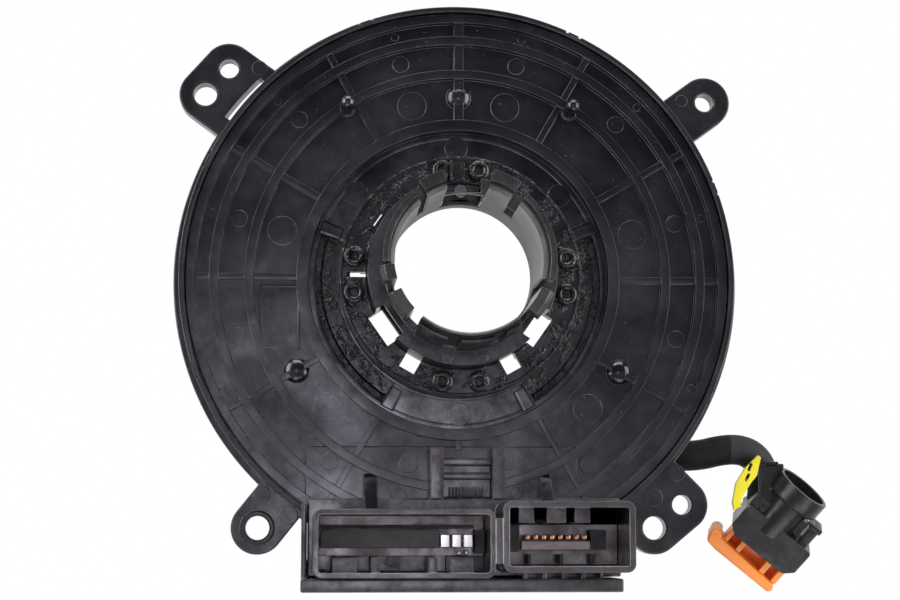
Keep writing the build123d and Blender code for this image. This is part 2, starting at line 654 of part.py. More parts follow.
# ================================================================ cancelling sleeve
flange_front_level = shoulder_level + fit_gap
with BuildPart() as cancel_sleeve:
    with BuildSketch(rear(sleeve_front_level)):
        add(ring_face(sleeve_bore, sleeve_outer))
    extrude(amount=sleeve_face_level - sleeve_front_level)
    with BuildSketch(rear(flange_front_level)):
        add(ring_face(sleeve_outer - fit_gap, sleeve_flange))
    extrude(amount=hub_rear_level - flange_front_level)
    with BuildSketch(rear(hub_rear_level)):
        add(ring_face(drum_radius - 1.4, drum_radius))
    extrude(amount=sleeve_face_level - hub_rear_level)
    with BuildSketch(rear(sleeve_face_level)):
        add(ring_face(sleeve_outer - fit_gap, drum_radius))
    extrude(amount=-sleeve_face_thickness)
    with BuildSketch(rear(sleeve_face_level)):
        add(box_face(notch_left, notch_right, sleeve_outer, drum_radius + 1))
    extrude(amount=hub_rear_level - sleeve_face_level, mode=Mode.SUBTRACT)
    with BuildSketch(rear(sleeve_face_level)):
        add(window_faces())
    extrude(amount=flange_front_level - sleeve_face_level, mode=Mode.SUBTRACT)
    with BuildSketch(rear(hub_rear_level)):
        add(box_face(notch_left, notch_right, pad_bottom, drum_radius - 0.9))
    extrude(amount=1.6)
    with BuildSketch(rear(sleeve_face_level - sleeve_face_thickness)):
        for start, end in [(shell_start, shell_end), *[finger[:2] for finger in fingers], *hooks]:
            add(sector_face(sleeve_bore, finger_outer + finger_root, start, end))
    extrude(amount=sleeve_face_thickness + 2.0)
    with BuildSketch(rear(sleeve_face_level)):
        add(sector_face(finger_inner, finger_outer, shell_start, shell_end))
    extrude(amount=shell_level - sleeve_face_level)
    for start, end, tip_level, rim_radius in fingers:
        with BuildSketch(radial_plane(start)):
            with BuildLine():
                Polyline(
                    (finger_inner, sleeve_face_level),
                    (finger_inner, tip_level - lead_in_length),
                    (finger_inner + lead_in_width, tip_level),
                    (rim_radius, tip_level),
                    (rim_radius, tip_level - rim_length),
                    (finger_outer, tip_level - rim_length - (rim_radius - finger_outer)),
                    (finger_outer, sleeve_face_level),
                    close=True,
                )
            make_face()
        revolve(axis=column_axis, revolution_arc=end - start)
    for start, end in hooks:
        with BuildSketch(radial_plane(start)):
            with BuildLine():
                Polyline(
                    (hook_inner, sleeve_face_level),
                    (hook_inner, hook_level),
                    (hook_outer - hook_chamfer, hook_level),
                    (hook_outer, hook_level - hook_chamfer),
                    (hook_outer, hook_level - hook_length),
                    (finger_outer, hook_level - hook_length),
                    (finger_outer, sleeve_face_level),
                    close=True,
                )
            make_face()
        revolve(axis=column_axis, revolution_arc=end - start)
cancel_sleeve.part.label = "cancel_sleeve"
export_step(cancel_sleeve.part, "parts/cancel_sleeve.step")

with BuildPart() as sleeve_screw:
    screw_level = hub_rear_level + 1.6
    with BuildSketch(rear(screw_level + fit_gap / 2)):
        with Locations((-0.4, 22.2)):
            Circle(1.7)
    extrude(amount=1.4)
    chamfer(sleeve_screw.faces().sort_by(Axis.Y)[0].edges(), length=0.5)
    with BuildSketch(rear(screw_level + fit_gap / 2 + 1.4)):
        with Locations((-0.4, 22.2)):
            Rectangle(1.6, 0.4)
            Rectangle(0.4, 1.6)
    extrude(amount=-0.8, mode=Mode.SUBTRACT)
sleeve_screw.part.label = "sleeve_screw"
export_step(sleeve_screw.part, "parts/sleeve_screw.step")

# ================================================================ flat cable, clamps and slip rings
ribbon_pitch = (case_inner - ribbon_case_gap - ribbon_inner) / (ribbon_half_turns / 2 - 0.25)
ribbon_level = (drum_rear_level + rotor_plate_level) / 2 - ribbon_width / 2 - slip_thickness / 4
with BuildPart() as ribbon_cable:
    with BuildSketch(rear(ribbon_level)):
        with BuildLine():
            walls = []
            for side in (-ribbon_thickness / 2, ribbon_thickness / 2):
                for turn in range(ribbon_half_turns):
                    centre_x = ribbon_pitch / 4 * (1 if turn % 2 else -1)
                    radius = ribbon_inner + ribbon_pitch / 2 * turn + side
                    walls.append(CenterArc((centre_x, 0), radius, 180 * turn, 180))
            Line(walls[0] @ 0, walls[ribbon_half_turns] @ 0)
            Line(walls[ribbon_half_turns - 1] @ 1, walls[-1] @ 1)
        make_face()
    extrude(amount=ribbon_width)
ribbon_cable.part.label = "ribbon_cable"
export_step(ribbon_cable.part, "parts/ribbon_cable.step")
ribbon_outer = ribbon_inner + ribbon_pitch / 2 * (ribbon_half_turns - 1) + ribbon_pitch / 4

with BuildPart() as outer_clamp:
    with BuildSketch(rear(ribbon_level)):
        add(sector_face(ribbon_outer + ribbon_thickness, case_inner - fit_gap, -6, 6))
    extrude(amount=ribbon_width)
outer_clamp.part.label = "outer_clamp"
export_step(outer_clamp.part, "parts/outer_clamp.step")

with BuildPart() as inner_clamp:
    with BuildSketch(rear(ribbon_level)):
        add(sector_face(drum_inner + drum_wall + fit_gap,
                        ribbon_inner - ribbon_pitch / 4 - ribbon_thickness * 1.5, -8, 8))
    extrude(amount=ribbon_width)
inner_clamp.part.label = "inner_clamp"
export_step(inner_clamp.part, "parts/inner_clamp.step")

with BuildPart() as rear_slip_ring:
    with BuildSketch(rear(cover_front_level - fit_gap)):
        add(ring_face(drum_inner + drum_wall + 0.4, cover_radius - 0.3))
    extrude(amount=-slip_thickness)
rear_slip_ring.part.label = "rear_slip_ring"
export_step(rear_slip_ring.part, "parts/rear_slip_ring.step")

with BuildPart() as front_slip_ring:
    with BuildSketch(rear(rotor_plate_level + fit_gap)):
        add(ring_face(drum_inner + drum_wall + 0.4, rotor_radius - 0.6))
    extrude(amount=slip_thickness)
front_slip_ring.part.label = "front_slip_ring"
export_step(front_slip_ring.part, "parts/front_slip_ring.step")

# ================================================================ wheel-side header
header_seat = rotor_front_level - fit_gap
with BuildPart() as wheel_header:
    with BuildSketch(rear(header_seat)):
        with Locations((header_x, header_z)):
            RectangleRounded(header_width, header_height, 1.5)
    extrude(amount=-header_depth)
    with BuildSketch(rear(header_seat - header_depth)):
        with Locations((header_x, header_z)):
            RectangleRounded(header_width - 2 * header_wall, header_height - 2 * header_wall, 0.6)
    extrude(amount=header_depth - 2.0, mode=Mode.SUBTRACT)
wheel_header.part.label = "wheel_header"
export_step(wheel_header.part, "parts/wheel_header.step")

with BuildPart() as wheel_pins:
    with BuildSketch(rear(header_seat - 2.0)):
        with Locations((header_x, header_z)):
            with GridLocations(wheel_pin_pitch, wheel_row_pitch, 6, 2):
                Rectangle(aux_pin_size, aux_pin_size)
    extrude(amount=-header_depth / 2)
wheel_pins.part.label = "wheel_pins"
export_step(wheel_pins.part, "parts/wheel_pins.step")

# ================================================================ pigtail and the block it leaves
radii = []
for before, corner, after in zip(route, route[1:], route[2:]):
    turn = radians((corner - before).get_angle(after - corner))
    radii.append(0.45 * min((corner - before).length, (after - corner).length) / tan(turn / 2))
print("pigtail bend radii:", [round(radius, 1) for radius in radii])

with BuildPart() as pigtail:
    with BuildLine() as pigtail_path:
        FilletPolyline(*route, radius=radii)
    with BuildSketch(Plane(origin=route[0], z_dir=route[1] - route[0])):
        Circle(pigtail_radius)
    sweep(path=pigtail_path.wires()[0])
path_length = pigtail_path.wires()[0].length
tube_volume = pi * pigtail_radius**2 * path_length
print("pigtail length:", round(path_length, 2), "volume ratio:", round(pigtail.part.volume / tube_volume, 5))
pigtail.part.label = "pigtail"
export_step(pigtail.part, "parts/pigtail.step")

gland_plane = Plane(origin=route[0], x_dir=(exit_direction.Z, 0, -exit_direction.X), z_dir=-exit_direction)
with BuildPart() as pigtail_gland:
    with BuildSketch(gland_plane):
        RectangleRounded(gland_size, gland_size, 2.0)
    extrude(amount=gland_length)
    with Locations((route[0].X, -rotor_front_level - 10.0, route[0].Z)):
        Box(60, 20.0 - 2 * fit_gap, 60, mode=Mode.SUBTRACT)
pigtail_gland.part.label = "pigtail_gland"
export_step(pigtail_gland.part, "parts/pigtail_gland.step")

# ================================================================ airbag plug
along = Vector(cos(radians(plug_slope)), 0, -sin(radians(plug_slope)))
upright = Vector(sin(radians(plug_slope)), 0, cos(radians(plug_slope)))
barrel_axis = upright * cos(radians(plug_tilt)) - Vector(0, sin(radians(plug_tilt)), 0)
plug_plane = Plane(origin=(plug_x, plug_y, plug_z), x_dir=along, z_dir=along.cross(barrel_axis))


def plug_cross(place):
    """Plane across the barrel at a distance along it, with X along the plug."""
    origin = plug_plane.origin + barrel_axis * place
    return Plane(origin=origin, x_dir=along, z_dir=barrel_axis)


plug_end = route[-1]
tower_direction = (route[-2] - route[-1]).normalized()
with BuildPart() as airbag_plug:
    with BuildSketch(plug_plane.offset(-plug_half_depth)):
        with BuildLine():
            Polyline(
                (plug_left, plug_bottom + 2.0),
                (plug_left + 2.6, plug_bottom),
                (plug_right - 2.4, plug_bottom),
                (plug_right, plug_bottom + 2.4),
                (plug_right, plug_top - 0.6),
                (plug_right - 0.6, plug_top),
                (plug_left + 1.0, plug_top),
                (plug_left, plug_top - 1.4),
                close=True,
            )
        make_face()
    extrude(amount=2 * plug_half_depth)
    with BuildSketch(plug_cross(0)):
        with Locations((barrel_place, 0)):
            Circle(barrel_radius)
    extrude(amount=barrel_end)
    with BuildSketch(plug_cross(barrel_end - 0.5)):
        with Locations((barrel_place, 0)):
            Circle(hood_radius)
    extrude(amount=hood_end - barrel_end + 0.5)
    with BuildSketch(plug_cross(hood_end)):
        with Locations((barrel_place, 0)):
            Circle(hood_radius - hood_wall)
    extrude(amount=barrel_end + 0.5 - hood_end, mode=Mode.SUBTRACT)
    with BuildSketch(plug_cross(barrel_end + 1)):
        with Locations((barrel_place, 0)):
            Circle(barrel_radius - hood_wall)
    extrude(amount=core_root - barrel_end - 1, mode=Mode.SUBTRACT)
    with BuildSketch(plug_cross(core_root - fit_gap)):
        with Locations((barrel_place, 0)):
            Circle(core_radius)
    extrude(amount=core_end - core_root + fit_gap)
    with BuildSketch(plug_cross(0)):
        with Locations((7.0, 0)):
            Rectangle(2.6, 7.0)
    extrude(amount=10.2)
    with BuildSketch(Plane(origin=plug_end, x_dir=(0, 1, 0), z_dir=-tower_direction)):
        RectangleRounded(2 * pigtail_radius + 1.2, 2 * pigtail_radius + 1.2, 1.6)
    extrude(amount=5.0)
    with BuildSketch(rear(-(plug_end.Y - pigtail_radius - lip_reach))):
        add(box_face(lip_left, lip_right, lip_bottom, lip_top))
    extrude(amount=1.4)
    with BuildSketch(Plane(origin=plug_end, x_dir=(0, 1, 0), z_dir=tower_direction)):
        Circle(pigtail_radius + fit_gap / 2)
    extrude(amount=2 * pigtail_radius, mode=Mode.SUBTRACT)
    with BuildSketch(plug_cross(plug_bottom)):
        with Locations(((plug_left + plug_right) / 2, 0)):
            Rectangle(plug_right - plug_left - 2 * pocket_side_wall, 2 * pocket_half_depth)
    extrude(amount=pocket_depth, mode=Mode.SUBTRACT)
airbag_plug.part.label = "airbag_plug"
export_step(airbag_plug.part, "parts/airbag_plug.step")

with BuildPart() as airbag_contacts:
    with BuildSketch(plug_cross(core_end + fit_gap / 2)):
        with Locations((barrel_place - 1.2, 0), (barrel_place + 1.2, 0)):
            Circle(0.7)
    extrude(amount=1.6)
airbag_contacts.part.label = "airbag_contacts"
export_step(airbag_contacts.part, "parts/airbag_contacts.step")

# leaf cover beside the cable tower, bent from strip
with BuildPart() as airbag_clip:
    with BuildSketch(rear(-leaf_front)):
        with BuildLine():
            outside = ThreePointArc((82.6, -45.2), (77.0, -51.6), (75.4, -59.4))
            inside = ThreePointArc((83.7, -45.8), (78.2, -52.0), (76.6, -59.4))
            Line(outside @ 0, inside @ 0)
            Line(outside @ 1, inside @ 1)
        make_face()
        add(box_face(75.0, 77.6, -60.6, -57.8))
    extrude(amount=-leaf_depth)
    with BuildSketch(Plane.YZ.offset(leaf_left)):
        with Locations((leaf_front + leaf_depth / 2, -52.4), (leaf_front + leaf_depth / 2, -55.0)):
            Rectangle(leaf_depth * 0.55, 1.3)
        add(box_face(leaf_cable_face, leaf_front + 2 * leaf_depth, leaf_cable_foot, plug_z + 2 * hood_end))
    extrude(amount=leaf_depth * 2, mode=Mode.SUBTRACT)
airbag_clip.part.label = "airbag_clip"
export_step(airbag_clip.part, "parts/airbag_clip.step")

lock_left = plug_left + pocket_side_wall + slide_gap
lock_right = plug_right - pocket_side_wall - slide_gap
lock_top = plug_bottom + pocket_depth - lock_travel - lock_stop_gap
lock_base_top = plug_bottom - lock_travel - lock_stop_gap
lock_base_bottom = lock_base_top - lock_base_height
lock_depth = pocket_half_depth - slide_gap
lock_base_left, lock_base_right = plug_left - lock_tab_reach, plug_right - pocket_side_wall
window_bottom, window_top = lock_base_bottom + lock_base_lip, lock_top - lock_base_lip
with BuildPart() as airbag_lock:
    with BuildSketch(plug_plane.offset(-lock_depth - lock_base_lip)):
        with Locations(((lock_base_left + lock_base_right) / 2, (lock_base_bottom + lock_base_top) / 2)):
            RectangleRounded(lock_base_right - lock_base_left, lock_base_height, lock_base_height * 0.4)
        add(box_face(lock_base_left, plug_left - slide_gap, lock_base_top - lock_base_height / 2,
                     lock_base_top + lock_tab_height))
    extrude(amount=2 * (lock_depth + lock_base_lip))
    with BuildSketch(plug_plane.offset(-lock_depth)):
        add(box_face(lock_left, lock_right, lock_base_top - fit_gap, lock_top))
    extrude(amount=2 * lock_depth)
    with BuildSketch(plug_plane.offset(lock_depth + lock_base_lip)):
        for left, right in ((-8.6, -5.6), (-4.2, 3.0), (4.6, 7.2)):
            add(box_face(left, right, window_bottom, window_top))
    extrude(amount=-2 * lock_depth, mode=Mode.SUBTRACT)
airbag_lock.part.label = "airbag_lock"
export_step(airbag_lock.part, "parts/airbag_lock.step")
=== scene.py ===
"""Steering clock spring dressed for its picture.

Pieces are shaped in plan millimetres: X to the right, Y up the picture and Z the height above the
face of the ears, towards the steering column. Stock.place turns them into the row frame, in metres.
"""

import json
import logging
import math
from collections.abc import Iterable
from dataclasses import dataclass
from enum import Enum
from functools import cached_property
from typing import NamedTuple

import bmesh
import bpy
from mathutils import Matrix, Vector

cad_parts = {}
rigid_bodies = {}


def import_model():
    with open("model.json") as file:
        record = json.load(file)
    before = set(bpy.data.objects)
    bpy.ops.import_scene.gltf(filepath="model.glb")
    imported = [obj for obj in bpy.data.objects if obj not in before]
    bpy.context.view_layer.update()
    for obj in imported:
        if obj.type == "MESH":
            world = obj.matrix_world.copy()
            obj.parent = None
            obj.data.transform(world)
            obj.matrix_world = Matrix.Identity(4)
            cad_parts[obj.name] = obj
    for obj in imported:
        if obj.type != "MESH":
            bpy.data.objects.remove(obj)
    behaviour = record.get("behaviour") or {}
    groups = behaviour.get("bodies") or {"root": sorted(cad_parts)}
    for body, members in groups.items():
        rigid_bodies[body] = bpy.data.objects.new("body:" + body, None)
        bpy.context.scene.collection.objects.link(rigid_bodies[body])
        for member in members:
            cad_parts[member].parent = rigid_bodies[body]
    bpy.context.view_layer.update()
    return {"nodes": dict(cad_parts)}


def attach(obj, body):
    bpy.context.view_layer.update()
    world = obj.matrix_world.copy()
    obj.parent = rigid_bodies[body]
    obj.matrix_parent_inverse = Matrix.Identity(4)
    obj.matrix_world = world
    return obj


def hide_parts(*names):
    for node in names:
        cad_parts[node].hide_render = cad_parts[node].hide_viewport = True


for leftover in list(bpy.data.objects):
    bpy.data.objects.remove(leftover)
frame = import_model()
LOG = logging.getLogger("clock_spring")

Point = tuple[float, float]
Triple = tuple[float, float, float]
Socket = bpy.types.NodeSocket
Value = Socket | float | tuple[float, ...]

MM = 0.001
SHARP_ANGLE = math.radians(33)
FLAT_ANGLE = math.radians(1)
RING_STEPS = 220
ROUND_STEPS = 2
FACE_WEIGHT = 80
PLAN_TO_ROW = Matrix.Scale(MM, 4) @ Matrix.Rotation(math.radians(90), 4, "X")


class Body(Enum):
    """The three bodies that move apart."""

    STATOR = "stator"
    ROTOR = "rotor"
    LOCK = "plug_lock"


class Box(NamedTuple):
    """Limits of a block, the width of its rounding and its turn about the axis in degrees."""

    left: float
    right: float
    bottom: float
    top: float
    low: float
    high: float
    round_off: float = 0.2
    turn: float = 0.0


def polar(radius: float, angle: float) -> Point:
    """Plan point at a radius and an angle in degrees."""
    return radius * math.cos(math.radians(angle)), radius * math.sin(math.radians(angle))


def section(inner: float, outer: float, low: float, high: float) -> list[Point]:
    """Corners of a rectangular section, as radius and level."""
    return [(inner, low), (outer, low), (outer, high), (inner, high)]


def about_axis(angle: float) -> Matrix:
    """Turn about the axis by an angle in degrees."""
    return Matrix.Rotation(math.radians(angle), 3, "Z")


# ------------------------------------------------------------------------------ node trees
class Wiring:
    """Adds linked nodes to one node tree."""

    def __init__(self, tree: bpy.types.NodeTree) -> None:
        """Starts work on a tree."""
        self.tree = tree

    @cached_property
    def place(self) -> Socket:
        """Object coordinates, in metres."""
        return self.node("TexCoord").outputs["Object"]

    def feed(self, target: Socket, value: Value) -> None:
        """Gives an input its value.

        Args:
            target: the input.
            value: a plain value, or the socket to link it to.
        """
        if isinstance(value, Socket):
            self.tree.links.new(value, target)
        else:
            target.default_value = value

    def node(self, kind: str, inputs: dict[str | int, Value] | None = None,
             **settings: str | int | bpy.types.NodeTree) -> bpy.types.Node:
        """Adds one node.

        Args:
            kind: its type, without the word ShaderNode.
            inputs: what goes into each input, by name or number.
            settings: its properties, which are set first.

        Returns:
            The node.
        """
        node = self.tree.nodes.new("ShaderNode" + kind)
        for label, value in settings.items():
            setattr(node, label, value)
        for label, value in (inputs or {}).items():
            self.feed(node.inputs[label], value)
        return node

    def math(self, operation: str, first: Value, second: Value) -> Socket:
        """Sum of two values."""
        return self.node("Math", {0: first, 1: second}, operation=operation).outputs[0]

    def ramp(self, value: Value, start: float, end: float, low: Value = 0.0, high: Value = 1.0,
             smooth: bool = False) -> Socket:
        """Turns the span from start to end into the span from low to high.

        Args:
            value: the value to turn.
            start: value that becomes low.
            end: value that becomes high.
            low: result at the start.
            high: result at the end.
            smooth: eases both ends.

        Returns:
            The socket of the result.
        """
        ends = {"Value": value, "From Min": start, "From Max": end, "To Min": low, "To Max": high}
        shape = "SMOOTHSTEP" if smooth else "LINEAR"
        return self.node("MapRange", ends, interpolation_type=shape).outputs["Result"]

    def noise(self, scale: Value, detail: float, roughness: float = 0.5,
              place: Socket | None = None) -> Socket:
        """Noise, on object coordinates if no others are given.

        Args:
            scale: fineness per metre.
            detail: octaves.
            roughness: strength of the finer octaves.
            place: other coordinates.

        Returns:
            The socket of the noise value.
        """
        where = self.place if place is None else place
        inputs = {"Vector": where, "Scale": scale, "Detail": detail, "Roughness": roughness}
        return self.node("TexNoise", inputs).outputs["Fac"]

    def blend(self, share: Socket, first: Value, second: Value) -> Socket:
        """First colour where share is 0, second where it is 1."""
        mix = self.node("Mix", {"Factor": share, "A": first, "B": second}, data_type="RGBA")
        return mix.outputs["Result"]

    def either(self, share: Socket, first: Socket, second: Socket) -> Socket:
        """First shader where share is 0, second where it is 1."""
        return self.node("MixShader", {0: share, 1: first, 2: second}).outputs[0]


class Group(Wiring):
    """A node group that turns a few numbers into one result."""

    def __init__(self, name: str, inputs: Iterable[str], output: str, kind: str = "Float") -> None:
        """Makes the group and its sockets.

        Args:
            name: name of the group.
            inputs: names of its float inputs.
            output: name of its output.
            kind: type of the output.
        """
        super().__init__(bpy.data.node_groups.new(name, "ShaderNodeTree"))
        for label in inputs:
            self.tree.interface.new_socket(label, in_out="INPUT", socket_type="NodeSocketFloat")
        self.tree.interface.new_socket(output, in_out="OUTPUT", socket_type="NodeSocket" + kind)
        self.given = self.tree.nodes.new("NodeGroupInput").outputs
        self.result = self.tree.nodes.new("NodeGroupOutput").inputs[0]

    def rounded(self, samples: int) -> Socket:
        """Normal with its hard edges rounded by the input Edge."""
        return self.node("Bevel", {"Radius": self.given["Edge"]}, samples=samples).outputs["Normal"]


# ------------------------------------------------------------------------------ finishes
@dataclass(frozen=True)
class Finish:
    """How one kind of surface looks.

    Args:
        name: material name.
        slot: material slot of the record; not used.
        colour: base colour, linear.
        low, high: range of roughness.
        patch: size of the gloss patches, per metre.
        grain: depth of the moulding grain, in millimetres.
        grain_scale: fineness of the grain, per metre.
        swell: depth of the slow waviness that bends reflections, in millimetres.
        metallic: 1 for metals.
        wet: share of grease that lies near the turning ring.
        edge: radius by which shading rounds hard edges, in millimetres.
        edge_highlight: strength of the painted highlight along hard edges, from 0 to 1.
        wrap: X in millimetres up to which a darker wrap covers it, if there is one.
        shine: strength of its mirror-like share, 0.5 for plain plastic.
        uneven: how far that share drifts up and down in patches, from 0 to 1.
    """

    name: str
    slot: str
    colour: Triple
    low: float = 0.3
    high: float = 0.5
    patch: float = 60.0
    grain: float = 0.01
    grain_scale: float = 2500.0
    swell: float = 0.02
    metallic: float = 0.0
    wet: float = 0.0
    edge: float = 0.25
    edge_highlight: float = 0.5
    wrap: float | None = None
    shine: float = 0.5
    uneven: float = 0.3

    def tone(self, scale: float, lift: float = 0.0) -> tuple[float, ...]:
        """Its colour scaled and lifted, as red, green, blue and alpha."""
        return (*[min(lift + scale * part, 1.0) for part in self.colour], 1.0)


COVER = Finish("cover_black", "cover_plastic", (0.0052, 0.0048, 0.0070), 0.10, 0.32, patch=38.0, grain=0.004,
               grain_scale=2600.0, swell=0.24, edge=0.13, edge_highlight=0.95, shine=0.55, uneven=0.32)
INNER = Finish("inner_black", "cover_plastic", (0.0045, 0.0042, 0.0052), 0.08, 0.26, grain=0.004,
               grain_scale=2600.0, swell=0.20, edge=0.12, edge_highlight=0.8, shine=0.7, uneven=0.45)
CASE = Finish("case_black", "case_plastic", (0.007, 0.0066, 0.0085), 0.16, 0.36, grain_scale=2200.0,
              swell=0.16, edge=0.15, edge_highlight=0.7)
BLOCK = Finish("block_black", "case_plastic", (0.017, 0.0145, 0.0150), 0.12, 0.34, patch=70.0, grain=0.006,
               grain_scale=2400.0, swell=0.25, edge=0.35, edge_highlight=0.95, shine=0.75, uneven=0.42)
SLEEVE = Finish("sleeve_black", "sleeve_plastic", (0.008, 0.0075, 0.008), 0.22, 0.38, patch=80.0, grain=0.005,
                grain_scale=2600.0, swell=0.10, edge=0.18, edge_highlight=0.7, shine=0.7, uneven=0.4)
RING = Finish("ring_black", "ring_plastic", (0.0045, 0.0042, 0.0052), 0.12, 0.32, patch=120.0, grain=0.008,
              grain_scale=2600.0, swell=0.08, wet=1.0, edge=0.15, uneven=0.35)
HEADER = Finish("header_grey", "header_plastic", (0.028, 0.028, 0.029), 0.46, 0.60, patch=80.0, grain=0.008,
                edge=0.15)
# painted light: pale pinkish tone for lamp light reflected onto the socket floors
LIT_FLOOR = Finish("socket_floor", "header_plastic", (0.30, 0.235, 0.225), 0.12, 0.34, patch=90.0, grain=0.02,
               grain_scale=1500.0, swell=0.3, edge=0.2, shine=1.0, uneven=0.6)
# painted reflection: pale grey stands in for the bright surround mirrored in the black bore wall
BORE_SHEEN = Finish("bore_sheen_paint", "sleeve_plastic", (0.165, 0.165, 0.16), 0.50, 0.62, patch=80.0, grain=0.005,
               edge=0.1, edge_highlight=0.0)
COPPER = Finish("contact_copper", "contact_metal", (0.80, 0.42, 0.24), 0.22, 0.36, swell=0.0, metallic=1.0,
                edge=0.1, edge_highlight=0.0)
TIN = Finish("contact_tin", "bright_contact", (0.80, 0.79, 0.76), 0.16, 0.30, swell=0.0, metallic=1.0,
             edge=0.1, edge_highlight=0.0)
STEEL = Finish("screw_steel", "screw_steel", (0.22, 0.22, 0.23), 0.28, 0.42, metallic=1.0, edge=0.1, edge_highlight=0.0)
FILM = Finish("ribbon_amber", "ribbon_film", (0.55, 0.22, 0.05), 0.20, 0.35, edge_highlight=0.0)
SLIP = Finish("slip_pale", "slip_film", (0.62, 0.62, 0.60), 0.30, 0.50, edge_highlight=0.0)
GEAR = Finish("gear_black", "gear_plastic", (0.005, 0.005, 0.0055), 0.10, 0.30, patch=150.0, wet=1.0,
              edge=0.1, edge_highlight=0.0)
GUIDE = Finish("guide_dark", "guide_plastic", (0.008, 0.008, 0.008), 0.14, 0.36, patch=150.0, wet=1.0,
               edge=0.15, edge_highlight=0.0)
TAPE = Finish("tape_black", "tape", (0.026, 0.026, 0.027), 0.55, 0.70, patch=90.0, grain=0.02,
              grain_scale=1400.0, swell=0.10, edge_highlight=0.0, wrap=75.5, shine=0.12)
PLUG = Finish("plug_black", "plug_plastic", (0.009, 0.009, 0.0105), 0.22, 0.40, patch=120.0, edge=0.2,
              edge_highlight=0.35, shine=0.35)
ORANGE = Finish("lock_orange", "lock_plastic", (1.0, 0.29, 0.045), 0.28, 0.42, patch=120.0, grain=0.004,
                edge_highlight=0.0)
YELLOW = Finish("clip_yellow", "clip_plastic", (0.62, 0.54, 0.02), 0.28, 0.42, patch=120.0, grain=0.004,
                edge_highlight=0.0)


